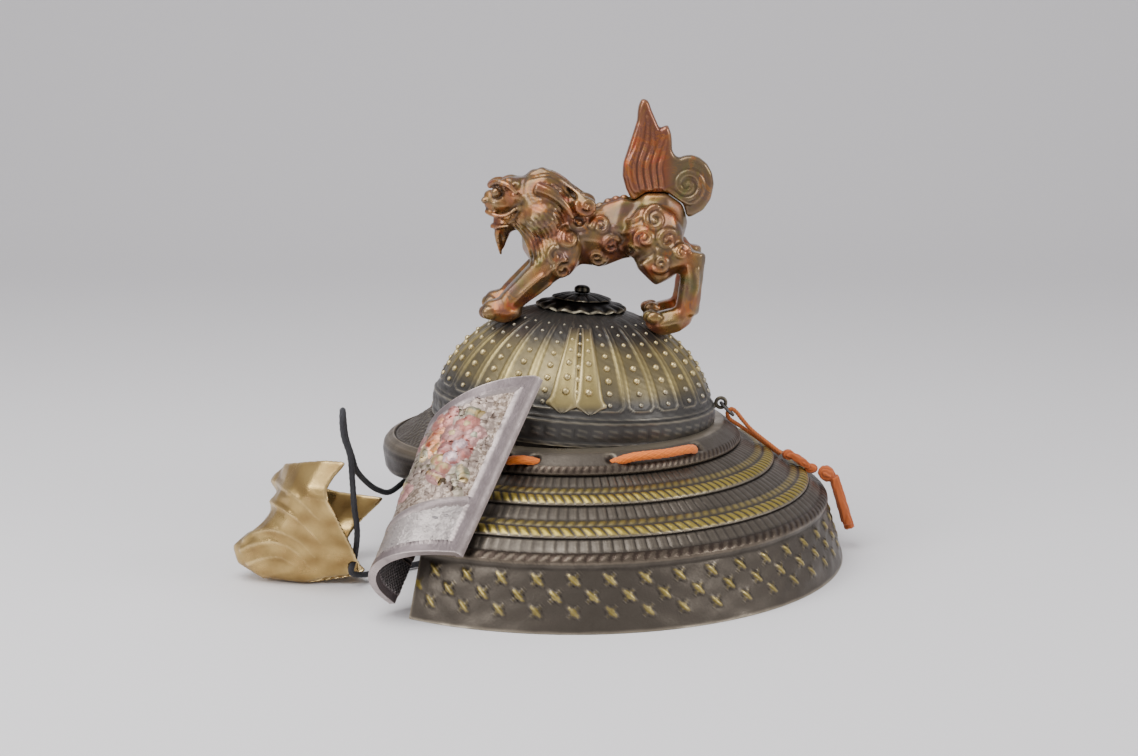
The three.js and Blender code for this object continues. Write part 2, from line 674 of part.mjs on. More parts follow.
function maskPoint(arc, turn, inset) {
  const [sine, cosine] = [Math.sin(turn * RAD), Math.cos(turn * RAD)];
  const rear = turn < 0 ? arc.rear - arc.short : arc.rear;
  const back = new THREE.Vector2(rear - arc.front, arc.edge - arc.z);
  const inward = back.clone().normalize().multiplyScalar(inset);
  const width = arc.side - inset + arc.full * Math.abs(Math.sin(2 * turn * RAD));
  const nose = arc.nose * Math.exp(-((width * sine / MASK_NOSE_HALF) ** 2));
  const y = arc.front - nose + back.x * (1 - cosine) + inward.x * cosine;
  const dip = MASK_DIP * Math.max(0, 1 - arc.z / MASK_MOUTH.z) * Math.sin(2 * turn * RAD) ** 2;
  const z = arc.z + back.y * (1 - cosine) + inward.y * cosine - dip;
  return new THREE.Vector3(width * sine, y, z);
}

// The black cord: from the floor inside the helmet to the hole in the mask's lower corner, up
// inside its left edge, up and back in a standing loop, across to the right ear and into the helmet.
const MASK_CORD_ROUTE = [
  [14, -58, 2.2], [44, -88, 2.2], [68, -111.5, 3.6], [81, -119, 6], [87.5, -123.4, 9.5],
  [84.5, -121.5, 18], [89, -119.5, 33], [92, -120.5, 48], [89.5, -121.5, 62], [89.5, -122.5, 76],
  [92, -125.5, 88], [92.5, -126, 98], [89.5, -126, 101.5], [87, -126, 97], [86.5, -125, 86],
  [85.5, -122, 75], [79, -121, 67], [56, -118, 54], [33, -113, 43], [17, -107.5, 38],
  [2, -99, 42], [-8, -88, 52], [-10, -76, 66],
];

function poseMask(geometry) {
  geometry.rotateX(MASK_POSE.pitch * RAD);
  geometry.rotateY(MASK_POSE.roll * RAD);
  geometry.rotateZ(MASK_POSE.yaw * RAD);
  geometry.computeBoundingBox();
  geometry.translate(MASK_POSE.at[0], MASK_POSE.at[1], -geometry.boundingBox.min.z);
  return geometry;
}

function faceMask() {
  const turns = [...MASK_TURNS.slice(1).reverse().map((turn) => -turn), ...MASK_TURNS];
  const skin = (inset) => MASK_ARCS.map((arc) => turns.map((turn) => maskPoint(arc, turn, inset)));
  const mouth = new THREE.SphereGeometry(1, 10, 6);
  mouth.scale(MASK_MOUTH.half, MASK_MOUTH.reach, MASK_MOUTH.tall);
  mouth.translate(0, 0, MASK_MOUTH.z);
  const shell = toSolid(wall(skin(0), skin(MASK_WALL))).subtract(toSolid(mouth));
  const cordHoles = tube(MASK_CORD_ROUTE, MASK_CORD_RADIUS + GAP, 44);
  return toGeometry(toSolid(poseMask(toGeometry(shell))).subtract(toSolid(cordHoles)));
}

// ---- Assembly --------------------------------------------------------------
const MATERIALS = {
  bowl_bronze: { color: 0x6a6045, roughness: 0.45, metalness: 0.85 },
  guard_bronze: { color: 0x4d463a, roughness: 0.5, metalness: 0.8 },
  plate_bronze: { color: 0x6b5d56, roughness: 0.5, metalness: 0.7 },
  lion_bronze: { color: 0x6d4433, roughness: 0.35, metalness: 0.8 },
  mask_brass: { color: 0xb59a57, roughness: 0.38, metalness: 0.9 },
  ring_iron: { color: 0x2c2a28, roughness: 0.5, metalness: 0.9 },
  orange_cord: { color: 0xe0561c, roughness: 0.85, metalness: 0 },
  black_cord: { color: 0x15151a, roughness: 0.9, metalness: 0 },
};

const helmet = new THREE.Group();
function add(name, geometry, look) {
  const mesh = new THREE.Mesh(geometry, new THREE.MeshStandardMaterial(MATERIALS[look]));
  mesh.material.name = look;
  mesh.name = name;
  helmet.add(mesh);
}

add("bowl", bowl(), "bowl_bronze");
add("finial_seat", turned(FINIAL_SEAT, 20), "bowl_bronze");
add("finial_petals", finialPetals(), "bowl_bronze");
add("finial_knob", turned(FINIAL_KNOB, 10), "bowl_bronze");
add("neck_guard", neckGuard(), "guard_bronze");
add("brim", brim(), "guard_bronze");
add("side_plate_left", sidePlate(), "plate_bronze");
add("side_plate_right", mirrored(sidePlate()), "plate_bronze");
add("lion", lion(), "lion_bronze");
add("lion_tail", tail(), "lion_bronze");
add("rear_ring", rearRing(), "ring_iron");
add("tassel_cord", tube(TASSEL_ROUTE, TASSEL_CORD_RADIUS, 24), "orange_cord");
add("tassel_bow", tasselBow(), "orange_cord");
add("tassel", tassel(), "orange_cord");
add("lacing_cord", tube(LACE_ROUTE, LACE_RADIUS, 52), "orange_cord");
add("face_mask", faceMask(), "mask_brass");
add("mask_cord", tube(MASK_CORD_ROUTE, MASK_CORD_RADIUS, 44), "black_cord");

// The origin is the middle of the underside of the box round everything but the cords.
const box = new THREE.Box3();
for (const mesh of helmet.children) {
  if (!mesh.material.name.endsWith("cord")) box.union(new THREE.Box3().setFromObject(mesh));
}
for (const mesh of helmet.children) {
  mesh.geometry.translate(-(box.min.x + box.max.x) / 2, -(box.min.y + box.max.y) / 2, -box.min.z);
}

export default helmet;
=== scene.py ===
# %% [markdown]
# # A cast samurai helmet with its half-mask
# The real thing is an ornament in cast bronze, about two thirds of the size that a person could
# wear. A ribbed bowl stands on a wide stepped guard, a lion stands on the bowl, and a face mask
# lies in front on a black cord. The solids from the CAD file fix every size. This lesson dresses
# them: each cast piece is rebuilt as a fine surface with its relief, and gets its patina.

# %% Load the solids
import bpy
import json
import math
import numpy as np
from mathutils import Matrix, Vector
from mathutils.bvhtree import BVHTree

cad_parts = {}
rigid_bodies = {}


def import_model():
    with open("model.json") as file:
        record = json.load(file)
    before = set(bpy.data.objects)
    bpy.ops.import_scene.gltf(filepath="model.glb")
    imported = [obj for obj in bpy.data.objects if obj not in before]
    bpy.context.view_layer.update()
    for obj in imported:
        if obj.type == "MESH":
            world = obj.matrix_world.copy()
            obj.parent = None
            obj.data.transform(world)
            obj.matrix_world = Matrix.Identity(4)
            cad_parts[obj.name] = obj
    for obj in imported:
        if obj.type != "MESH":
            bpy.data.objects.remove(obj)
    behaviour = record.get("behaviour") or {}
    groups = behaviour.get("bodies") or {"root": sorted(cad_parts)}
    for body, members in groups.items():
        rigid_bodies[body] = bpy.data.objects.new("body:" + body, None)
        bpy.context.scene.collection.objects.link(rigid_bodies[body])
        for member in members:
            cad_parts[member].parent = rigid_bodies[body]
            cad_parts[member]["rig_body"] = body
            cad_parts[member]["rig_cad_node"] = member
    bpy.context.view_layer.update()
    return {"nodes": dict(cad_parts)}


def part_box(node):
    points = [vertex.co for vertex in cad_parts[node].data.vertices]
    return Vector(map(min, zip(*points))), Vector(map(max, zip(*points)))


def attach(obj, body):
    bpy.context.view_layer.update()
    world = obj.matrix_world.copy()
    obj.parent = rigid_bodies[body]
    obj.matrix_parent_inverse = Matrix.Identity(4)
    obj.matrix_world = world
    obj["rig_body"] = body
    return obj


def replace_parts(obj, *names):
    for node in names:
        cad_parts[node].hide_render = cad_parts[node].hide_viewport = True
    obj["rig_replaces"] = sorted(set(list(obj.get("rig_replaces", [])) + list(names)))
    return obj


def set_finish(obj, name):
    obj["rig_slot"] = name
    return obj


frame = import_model()
AXIS_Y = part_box("neck_guard")[1].y - 0.160   # the bowl's upright axis, in metres
print("solids:", len(frame["nodes"]), "axis at y =", round(AXIS_Y, 4))

# %% [markdown]
# Sizes read best in millimetres from the bowl's axis, as on a drawing. One small function turns
# them into the frame's metres. A few more put an object to work: pick it alone, move its points
# all at once, and settle it so that its place is in its mesh.

# %% Small tools
MM = 0.001


def metres(points):
    """Millimetres from the bowl's axis, as an array, to metres in the frame."""
    return np.asarray(points, float) * MM + np.array([0, AXIS_Y, 0])


def pick(*pieces):
    bpy.ops.object.select_all(action="DESELECT")
    for piece in pieces:
        piece.select_set(True)
    bpy.context.view_layer.objects.active = pieces[0]
    return pieces[0]


def settle(name):
    """Names the active object, and moves its place, turn and scale into its mesh."""
    piece = bpy.context.object
    pick(piece)
    bpy.ops.object.transform_apply(location=True, rotation=True, scale=True)
    piece.name = piece.data.name = name
    return piece


def points_of(piece):
    flat = np.empty(len(piece.data.vertices) * 3)
    piece.data.vertices.foreach_get("co", flat)
    return flat.reshape(-1, 3)


def move_points(piece, points):
    piece.data.vertices.foreach_set("co", np.ascontiguousarray(points, float).ravel())
    piece.data.update()


def in_edit(piece, *steps):
    """Runs operators on the whole of a piece in edit mode."""
    pick(piece)
    bpy.ops.object.mode_set(mode="EDIT")
    bpy.ops.mesh.select_all(action="SELECT")
    for step in steps:
        step()
    bpy.ops.object.mode_set(mode="OBJECT")


def close_section(piece, near=1e-6):
    """Joins a wrapped grid's first and last row, and fills its two open ends."""
    in_edit(piece, lambda: bpy.ops.mesh.remove_doubles(threshold=near),
            lambda: bpy.ops.mesh.select_all(action="DESELECT"),
            lambda: bpy.ops.mesh.select_mode(type="EDGE"),
            lambda: bpy.ops.mesh.select_non_manifold(),
            lambda: bpy.ops.mesh.edge_face_add(),
            lambda: bpy.ops.mesh.select_all(action="SELECT"),
            lambda: bpy.ops.mesh.normals_make_consistent(inside=False))


def merge_and_turn_out(piece):
    in_edit(piece, lambda: bpy.ops.mesh.remove_doubles(threshold=1e-6),
            lambda: bpy.ops.mesh.normals_make_consistent(inside=False))


def give_wall(piece, thickness):
    """Thickens a sheet away from its face, in millimetres."""
    wall = piece.modifiers.new("wall", "SOLIDIFY")
    wall.thickness = thickness * MM
    wall.offset = -1
    apply_all(piece)


def apply_all(piece):
    pick(piece)
    for modifier in list(piece.modifiers):
        bpy.ops.object.modifier_apply(modifier=modifier.name)


def soften(piece, degrees=40):
    pick(piece)
    bpy.ops.object.shade_smooth_by_angle(angle=math.radians(degrees))


def join(pieces, name):
    pick(*pieces)
    bpy.ops.object.join()
    return settle(name)


def twin(piece, matrix=Matrix.Identity(4)):
    """A copy with a mesh of its own, placed by a matrix."""
    copy = piece.copy()
    copy.data = piece.data.copy()
    copy.data.transform(matrix)
    bpy.context.scene.collection.objects.link(copy)
    return copy


def solid_copy(node, name):
    """A copy of a CAD solid with its loose triangles merged, free to be worked on."""
    copy = twin(frame["nodes"][node])
    copy.parent = None
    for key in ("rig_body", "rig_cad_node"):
        del copy[key]
    in_edit(copy, lambda: bpy.ops.mesh.remove_doubles(threshold=1e-6))
    copy.name = copy.data.name = name
    copy.data.materials.clear()
    return copy


def say(piece):
    print(piece.name, "has", len(piece.data.polygons), "faces")


pieces = {}                       # every finished piece, with the look that it gets


def finished(piece, look, slot, *stands_for):
    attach(piece, "root")
    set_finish(piece, slot)
    if stands_for:
        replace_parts(piece, *stands_for)
    pieces[piece.name] = (piece, look)
    say(piece)
    return piece


# %% [markdown]
# The camera looks at the helmet's left side from a little above. A long lens keeps the curves
# calm. The table is pale, and the light is soft: one broad lamp overhead, a weaker one on each
# side, and a pale world that the polished metal can mirror.

# %% Camera and light
camera = bpy.data.objects.new("camera", bpy.data.cameras.new("camera"))
bpy.context.scene.collection.objects.link(camera)
camera.data.sensor_width = 36
camera.data.lens = 63.3
camera.data.clip_start = 0.02
camera.location = (1.161, AXIS_Y - 0.0024, 0.318)
camera.rotation_euler = (math.radians(90 - 10.5), 0, math.radians(90))
bpy.context.scene.camera = camera


def lamp(name, at, towards, size, watts):
    light = bpy.data.objects.new(name, bpy.data.lights.new(name, "AREA"))
    bpy.context.scene.collection.objects.link(light)
    light.data.shape = "RECTANGLE"
    light.data.size, light.data.size_y = size
    light.data.energy = watts
    light.location = at
    light.rotation_euler = (Vector(towards) - Vector(at)).to_track_quat("-Z", "Y").to_euler()


lamp("overhead lamp", (0.35, -0.35, 1.15), (0, 0, 0.08), (0.9, 0.9), 13)
lamp("front lamp", (0.9, -1.1, 0.75), (0, 0, 0.1), (0.7, 0.5), 7)
lamp("back lamp", (0.5, 1.15, 0.7), (0, 0, 0.1), (0.6, 0.5), 6)
world = bpy.data.worlds.new("pale room")
world.use_nodes = True
bpy.context.scene.world = world
sky = world.node_tree.nodes["Background"]
sky.inputs["Color"].default_value = (0.72, 0.70, 0.72, 1)
sky.inputs["Strength"].default_value = 0.85

# %% The table, which curves up into its own backdrop
CURVE_FROM, CURVE_RUN, CURVE_RADIUS = -1.3, 1.2, 0.764      # metres, behind the helmet
TABLE_CLEARANCE = 0.0002
bpy.ops.object.select_all(action="DESELECT")
bpy.ops.mesh.primitive_grid_add(x_subdivisions=60, y_subdivisions=2, size=8, location=(0, 0, 0))
table = bpy.context.object
sweep = points_of(table)
behind = np.clip(CURVE_FROM - sweep[:, 0], 0, None)
bend = np.clip(behind, 0, CURVE_RUN) / CURVE_RUN * math.pi / 2
sweep[:, 2] = CURVE_RADIUS * (1 - np.cos(bend)) + np.clip(behind - CURVE_RUN, 0, None) - TABLE_CLEARANCE
sweep[:, 0] = np.where(behind > 0, CURVE_FROM - CURVE_RADIUS * np.sin(bend), sweep[:, 0])
move_points(table, sweep)
settle("table")
bpy.ops.object.shade_smooth()
pale = bpy.data.materials.new("pale paper")
pale.use_nodes = True
pale.node_tree.nodes["Principled BSDF"].inputs["Base Color"].default_value = (0.84, 0.83, 0.845, 1)
pale.node_tree.nodes["Principled BSDF"].inputs["Roughness"].default_value = 0.8
table.data.materials.append(pale)
print("camera", [round(v, 3) for v in camera.location])

# %% [markdown]
# ## The cords
# Three cords are on the piece. An orange braid laces the guard's top plate, dipping in and out of
# its holes. A thinner orange twisted cord runs through the iron ring at the back and ends in a
# tassel. A black braid ties the mask. A cord is one long surface along a smooth line: rings of
# points, each ring slightly lobed, and the lobes turn as they go. The cords come first, because
# everything else has to leave them room.

# %% A smooth line through points, and a cord along it
def smooth_line(points, step):
    """A centripetal Catmull-Rom line through points, cut into equal steps."""
    points = np.asarray(points, float)
    ends = np.vstack([2 * points[0] - points[1], points, 2 * points[-1] - points[-2]])
    line = []
    for a, b, c, d in zip(ends, ends[1:], ends[2:], ends[3:]):
        t1 = np.linalg.norm(b - a) ** 0.5
        t2 = t1 + np.linalg.norm(c - b) ** 0.5
        t3 = t2 + np.linalg.norm(d - c) ** 0.5
        t = np.linspace(t1, t2, 24, endpoint=False)[:, None]
        ab = a + (b - a) * t / t1
        bc = b + (c - b) * (t - t1) / (t2 - t1)
        cd = c + (d - c) * (t - t2) / (t3 - t2)
        abc = ab + (bc - ab) * t / t2
        bcd = bc + (cd - bc) * (t - t1) / (t3 - t1)
        line.append(abc + (bcd - abc) * (t - t1) / (t2 - t1))
    line = np.vstack(line + [points[-1:]])
    run = np.concatenate([[0], np.cumsum(np.linalg.norm(np.diff(line, axis=0), axis=1))])
    even = np.linspace(0, run[-1], max(2, int(round(run[-1] / step)) + 1))
    return np.stack([np.interp(even, run, line[:, k]) for k in range(3)], axis=1), run[-1]


def frames_along(line):
    """Two directions across the line at each of its points, turning as little as they can."""
    ahead = np.gradient(line, axis=0)
    ahead /= np.linalg.norm(ahead, axis=1)[:, None]
    side = np.cross(ahead[0], (0.3, 0.2, 1.0))
    sides = []
    for direction in ahead:
        side = side - direction * side.dot(direction)
        side /= np.linalg.norm(side)
        sides.append(side)
    sides = np.array(sides)
    return sides, np.cross(ahead, sides)


def cord_mesh(name, points, radius, section, step=0.5, sides=24):
    """A cord in millimetres; section(turn, run) gives each ring's radius as a share."""
    line, length = smooth_line(points, step)
    across, up = frames_along(line)
    run = np.linspace(0, length, len(line))
    bpy.ops.object.select_all(action="DESELECT")
    bpy.ops.mesh.primitive_grid_add(x_subdivisions=len(line) - 1, y_subdivisions=sides, size=2)
    cord = bpy.context.object
    grid = points_of(cord)
    i = np.rint((grid[:, 0] + 1) / 2 * (len(line) - 1)).astype(int)
    turn = (grid[:, 1] + 1) / 2 * 2 * np.pi
    share = section(turn, run[i])[:, None]
    out = across[i] * np.cos(turn)[:, None] + up[i] * np.sin(turn)[:, None]
    move_points(cord, metres(line[i] + out * radius * share))
    loops = cord.data.uv_layers.active.data
    for loop, data in zip(cord.data.loops, loops):
        u, v = data.uv
        data.uv = (u * length / (2 * np.pi * radius), v)
    close_section(cord, 1e-7)
    settle(name)
    pick(cord)
    bpy.ops.object.shade_smooth()
    print(name, "is", round(length), "mm long")
    return cord, metres(line[::4]) if len(line) > 40 else metres(line), length


def braid(radius, plaits, pitch):
    """Plump stitches in a diamond pattern, as on a round braid."""
    def section(turn, run):
        slant = 2 * np.pi * run / pitch
        left, right = np.abs(np.sin((plaits * turn + slant) / 2)), np.abs(np.sin((plaits * turn - slant) / 2))
        return 0.9 + 0.14 * np.maximum(left, right) ** 2 * np.minimum(left, right) ** 0.4
    return section


def twist(strands, pitch):
    """Strands laid round each other."""
    def section(turn, run):
        return 0.8 + 0.22 * np.abs(np.sin(strands * (turn - 2 * np.pi * run / pitch) / 2)) ** 0.7
    return section


# %% The orange lace of the guard's top plate
# Angles are from the front. The lace is inside the guard between its holes and outside over them.
WIDEN = 1.07
LACE_POINTS = [
    (62, 88.0, 68.0), (66, 90.5, 71.5), (70, 98.0, 75.5), (74, 97.8, 76.2), (78, 92.0, 73.5),
    (82, 87.2, 69.5), (91, 86.0, 68.5), (100, 87.2, 69.5), (104, 92.0, 73.5), (109, 97.6, 77.2),
    (121, 98.4, 77.6), (132, 97.6, 77.2), (137, 92.0, 73.5), (141, 87.2, 69.5), (160, 86.0, 68.5),
]


def round_point(degrees, out, z, side=1):
    a = math.radians(degrees)
    return (side * out * math.sin(a) * WIDEN, -out * math.cos(a), z)


lace_route = [round_point(*row) for row in LACE_POINTS] + [round_point(180, 86, 68.5)]
lace_route += [round_point(*row, side=-1) for row in reversed(LACE_POINTS)]
LACE_RADIUS = 2.5
lace, lace_path, lace_length = cord_mesh("lacing", lace_route, LACE_RADIUS, braid(LACE_RADIUS, 6, 5.2))
finished(lace, "orange braid", "orange_cord", "lacing_cord")

# %% [markdown]
# The tassel's cord is one length, folded at the ring: both strands come back to the bow knot.

# %% The twisted cord through the ring
TASSEL_POINTS = [
    (1.5, 123.5, 57.8), (1.6, 115, 64.4), (1.5, 105.4, 72.2), (0.8, 100.2, 78), (0.2, 96.8, 82.2),
    (0, 94, 84.2), (0, 91.9, 83.2), (-0.1, 91.4, 80.6), (-0.2, 93, 78), (-0.8, 97, 75.2),
    (-1.5, 104, 70.3), (-1.6, 114.4, 63), (-1.5, 123, 56.6),
]
TASSEL_CORD_RADIUS = 1.25
tassel_cord, tassel_path, tassel_length = cord_mesh(
    "twisted_cord", TASSEL_POINTS, TASSEL_CORD_RADIUS, twist(3, 5.5), step=0.3, sides=18)

# %% [markdown]
# The black braid starts on the table inside the helmet, comes out behind the left plate, threads
# the hole in the mask's lower corner, climbs inside its edge, stands up in a stiff loop, and
# crosses to the right ear and back under the brim.

# %% The black braid of the mask
MASK_CORD_POINTS = [
    (14, -58, 2.2), (44, -88, 2.2), (68, -111.5, 3.6), (81, -119, 6), (87.5, -123.4, 9.5),
    (84.5, -121.5, 18), (89, -119.5, 33), (92, -120.5, 48), (89.5, -121.5, 62), (89.5, -122.5, 76),
    (92, -125.5, 88), (92.5, -126, 98), (89.5, -126, 101.5), (87, -126, 97), (86.5, -125, 86),
    (85.5, -122, 75), (79, -121, 67), (56, -118, 54), (33, -113, 43), (17, -107.5, 38),
    (2, -99, 42), (-8, -88, 52), (-10, -76, 66),
]
MASK_CORD_RADIUS = 1.7
mask_cord, mask_cord_path, mask_cord_length = cord_mesh(
    "black_braid", MASK_CORD_POINTS, MASK_CORD_RADIUS, braid(MASK_CORD_RADIUS, 5, 3.6), step=0.35, sides=20)
finished(mask_cord, "black braid", "black_cord", "mask_cord")

# %% [markdown]
# ## The finishes
# Cast bronze is coloured in three ways at once. The ground colour is cloudy, the raised parts are
# rubbed to brighter metal, which is also a painted highlight, and the hollows are darker. One node
# group does this for every casting. It reads the surface's pointiness for high and low, and a colour
# attribute named "tint" where the maker gilded or painted the relief.

# %% A helper for node trees
class Nodes:
    """Adds nodes to a tree and links them in one call each."""

    def __init__(self, tree):
        self.tree = tree

    def add(self, kind, inputs=(), **settings):
        node = self.tree.nodes.new("ShaderNode" + kind)
        for key, value in settings.items():
            setattr(node, key, value)
        for key, value in dict(inputs).items():
            if isinstance(value, bpy.types.NodeSocket):
                self.tree.links.new(value, node.inputs[key])
            else:
                node.inputs[key].default_value = value
        return node

    def maths(self, operation, *values, clamp=False):
        return self.add("Math", enumerate(values), operation=operation, use_clamp=clamp).outputs[0]

    def mix(self, share, first, second, blend="MIX"):
        return self.add("Mix", {0: share, 6: first, 7: second}, data_type="RGBA", blend_type=blend).outputs[2]

    def ramp(self, value, *stops):
        node = self.add("ValToRGB", {0: value})
        elements = node.color_ramp.elements
        while len(elements) < len(stops):
            elements.new(0.5)
        for element, (at, colour) in zip(elements, stops):
            element.position = at
            element.color = colour if len(colour) == 4 else (*colour, 1)
        return node.outputs["Color"]


def shader_group(name, inputs, outputs):
    """A node group with named sockets; returns it with its helper and its two ends."""
    tree = bpy.data.node_groups.new(name, "ShaderNodeTree")
    for side, sockets in (("INPUT", inputs), ("OUTPUT", outputs)):
        for label, (kind, default) in sockets.items():
            socket = tree.interface.new_socket(label, in_out=side, socket_type="NodeSocket" + kind)
            if default is not None:
                socket.default_value = default
    nodes = Nodes(tree)
    return tree, nodes, tree.nodes.new("NodeGroupInput"), tree.nodes.new("NodeGroupOutput")


# %% The patina group
BLACK = (0, 0, 0, 1)
patina, n, given, result = shader_group(
    "patina",
    {"Ground": ("Color", BLACK), "Rubbed and highlit": ("Color", BLACK), "Dark tone": ("Color", BLACK),
     "Rubbing and highlight": ("Float", 1.0), "Clouds": ("Float", 40.0), "Gloss": ("Float", 0.4)},
    {"Color": ("Color", None), "Roughness": ("Float", None), "Height": ("Float", None)})
where = n.add("TexCoord").outputs["Object"]
cloud = n.add("TexNoise", {"Vector": where, "Scale": given.outputs["Clouds"], "Detail": 6.0,
                           "Roughness": 0.62})
grain = n.add("TexNoise", {"Vector": where, "Scale": 900.0, "Detail": 4.0, "Roughness": 0.6})
pits = n.add("TexVoronoi", {"Vector": where, "Scale": 420.0, "Randomness": 1.0})
shape = n.add("NewGeometry").outputs["Pointiness"]
high = n.add("MapRange", {0: shape, 1: 0.505, 2: 0.56}).outputs[0]
low = n.add("MapRange", {0: shape, 1: 0.495, 2: 0.44}).outputs[0]
tint = n.add("Attribute", attribute_name="tint")
patchy = n.add("MapRange", {0: cloud.outputs["Fac"], 1: 0.35, 2: 0.68}).outputs[0]
ground = n.mix(tint.outputs["Alpha"], given.outputs["Ground"], tint.outputs["Color"])
clouded = n.mix(n.maths("MULTIPLY", patchy, 0.55), ground, n.mix(0.55, ground, given.outputs["Dark tone"]))
# Raised parts take the rubbed colour: partly real rubbing, partly a painted highlight on every high edge.
rub_and_highlight = n.maths("MULTIPLY", high, n.maths("MULTIPLY", given.outputs["Rubbing and highlight"],
                                         n.maths("MULTIPLY_ADD", patchy, -0.5, 1.0)), clamp=True)
highlit_rub_colour = n.mix(tint.outputs["Alpha"], given.outputs["Rubbed and highlit"],
                 n.mix(0.45, n.mix(1.0, tint.outputs["Color"], (2.0, 2.0, 2.0, 1), "MULTIPLY"),
                       given.outputs["Rubbed and highlit"]))
coloured = n.mix(rub_and_highlight, clouded, highlit_rub_colour)
# The hollows are darkened toward the third colour, which also darkens the clouds.
coloured = n.mix(n.maths("MULTIPLY", low, 0.85), coloured, given.outputs["Dark tone"])
rough = n.maths("ADD", given.outputs["Gloss"],
                n.maths("MULTIPLY_ADD", patchy, 0.16, n.maths("MULTIPLY_ADD", low, 0.25,
                                                              n.maths("MULTIPLY", rub_and_highlight, -0.1))))
height = n.maths("ADD", grain.outputs["Fac"], n.maths("MULTIPLY", pits.outputs["Distance"], 0.35))
n.tree.links.new(coloured, result.inputs["Color"])
n.tree.links.new(rough, result.inputs["Roughness"])
n.tree.links.new(height, result.inputs["Height"])

# %% Bronze, brass and iron
LOOKS = {}


def new_look(name):
    material = bpy.data.materials.new(name)
    material.use_nodes = True
    LOOKS[name] = material
    return Nodes(material.node_tree), material.node_tree.nodes["Principled BSDF"]


def bronze(name, ground, rubbed_and_highlit, dark_tone, rubbing_and_highlight=1.0, clouds=40.0, gloss=0.4, metal=0.85, bump=0.25, coat=0.0):
    n, skin = new_look(name)
    group = n.add("Group", node_tree=patina)
    for key, value in {"Ground": (*ground, 1), "Rubbed and highlit": (*rubbed_and_highlit, 1), "Dark tone": (*dark_tone, 1),
                       "Rubbing and highlight": rubbing_and_highlight, "Clouds": clouds, "Gloss": gloss}.items():
        group.inputs[key].default_value = value
    raised = n.add("Bump", {"Height": group.outputs["Height"], "Strength": bump, "Distance": 0.0004})
    n.tree.links.new(group.outputs["Color"], skin.inputs["Base Color"])
    n.tree.links.new(group.outputs["Roughness"], skin.inputs["Roughness"])
    n.tree.links.new(raised.outputs["Normal"], skin.inputs["Normal"])
    skin.inputs["Metallic"].default_value = metal
    skin.inputs["Coat Weight"].default_value = coat
    skin.inputs["Coat Roughness"].default_value = 0.12
    return n, skin, group


# The second colour of each look is the rubbed metal of raised parts, and also a painted highlight on them.
bronze("guard bronze", (0.115, 0.098, 0.080), (0.42, 0.36, 0.27), (0.016, 0.013, 0.011), gloss=0.36,
       clouds=60)
bronze("bowl bronze", (0.085, 0.080, 0.074), (0.46, 0.41, 0.30), (0.014, 0.013, 0.013), gloss=0.36, clouds=55)
bronze("plate bronze", (0.215, 0.160, 0.130), (0.55, 0.47, 0.42), (0.035, 0.024, 0.020), gloss=0.36,
       clouds=90,
       metal=0.6, bump=0.6)
bronze("mask brass", (0.50, 0.36, 0.13), (0.92, 0.76, 0.42), (0.05, 0.033, 0.012), gloss=0.24, clouds=70,
       metal=0.95)
bronze("ring iron", (0.05, 0.05, 0.05), (0.30, 0.29, 0.28), (0.01, 0.01, 0.01), gloss=0.4)

# %% [markdown]
# The lion is bronze under worn lacquer. Red, orange, gold, mauve and green lie in soft patches, and
# a clear coat makes it shine. Two slow noises choose the patch colour and how strong it is.

# %% The lion's lacquer
n, skin, group = bronze("lion lacquer", (0.16, 0.085, 0.035), (0.55, 0.36, 0.20), (0.020, 0.010, 0.006),
                        gloss=0.24, clouds=80, metal=0.75, bump=0.12, coat=0.35)
spot = n.add("TexCoord").outputs["Object"]
drift = n.add("TexNoise", {"Vector": spot, "Scale": 38.0, "Detail": 5.0, "Roughness": 0.7, "Distortion": 1.2})
drift_two = n.add("TexNoise", {"Vector": spot, "Scale": 52.0, "Detail": 6.0, "Roughness": 0.72,
                               "Distortion": 0.8})
colours = n.ramp(drift.outputs["Fac"], (0.30, (0.05, 0.085, 0.02)), (0.38, (0.17, 0.12, 0.02)),
                 (0.46, (0.16, 0.07, 0.035)), (0.53, (0.13, 0.06, 0.055)), (0.58, (0.35, 0.13, 0.02)),
                 (0.65, (0.42, 0.030, 0.012)), (0.74, (0.20, 0.12, 0.12)))
lacquered = n.mix(n.ramp(drift_two.outputs["Fac"], (0.36, (0.25, 0.25, 0.25)), (0.60, (1, 1, 1))),
                  group.outputs["Color"], n.mix(0.35, colours, group.outputs["Color"]))
pointed = n.add("NewGeometry").outputs["Pointiness"]
hollow = n.add("MapRange", {0: pointed, 1: 0.50, 2: 0.43}).outputs[0]
n.tree.links.new(n.mix(hollow, lacquered, (0.022, 0.010, 0.006, 1)), skin.inputs["Base Color"])

# %% [markdown]
# A cord's colour comes from its threads: fine lines along its own surface, painted shade where
# they sink between the plaits, and a dusty bloom on top. The surface's own map drives them.

# %% Braided and twisted thread
thread, n, given, result = shader_group(
    "thread",
    {"Dye": ("Color", BLACK), "Faded": ("Color", BLACK), "Lines": ("Float", 30.0), "Slant": ("Float", 1.0)},
    {"Color": ("Color", None), "Height": ("Float", None)})
along = n.add("SeparateXYZ", {0: n.add("TexCoord").outputs["UV"]})
lines = n.maths("ADD", n.maths("MULTIPLY", along.outputs[0],
                               n.maths("MULTIPLY", given.outputs["Slant"], given.outputs["Lines"])),
                n.maths("MULTIPLY", along.outputs[1], given.outputs["Lines"]))
fibre = n.maths("ABSOLUTE", n.maths("SINE", n.maths("MULTIPLY", lines, math.pi)))
fuzz = n.add("TexNoise", {"Vector": n.add("TexCoord").outputs["Object"], "Scale": 700.0, "Detail": 3.0})
plait_shade_mask = n.add("MapRange", {0: n.add("NewGeometry").outputs["Pointiness"], 1: 0.40, 2: 0.53}).outputs[0]
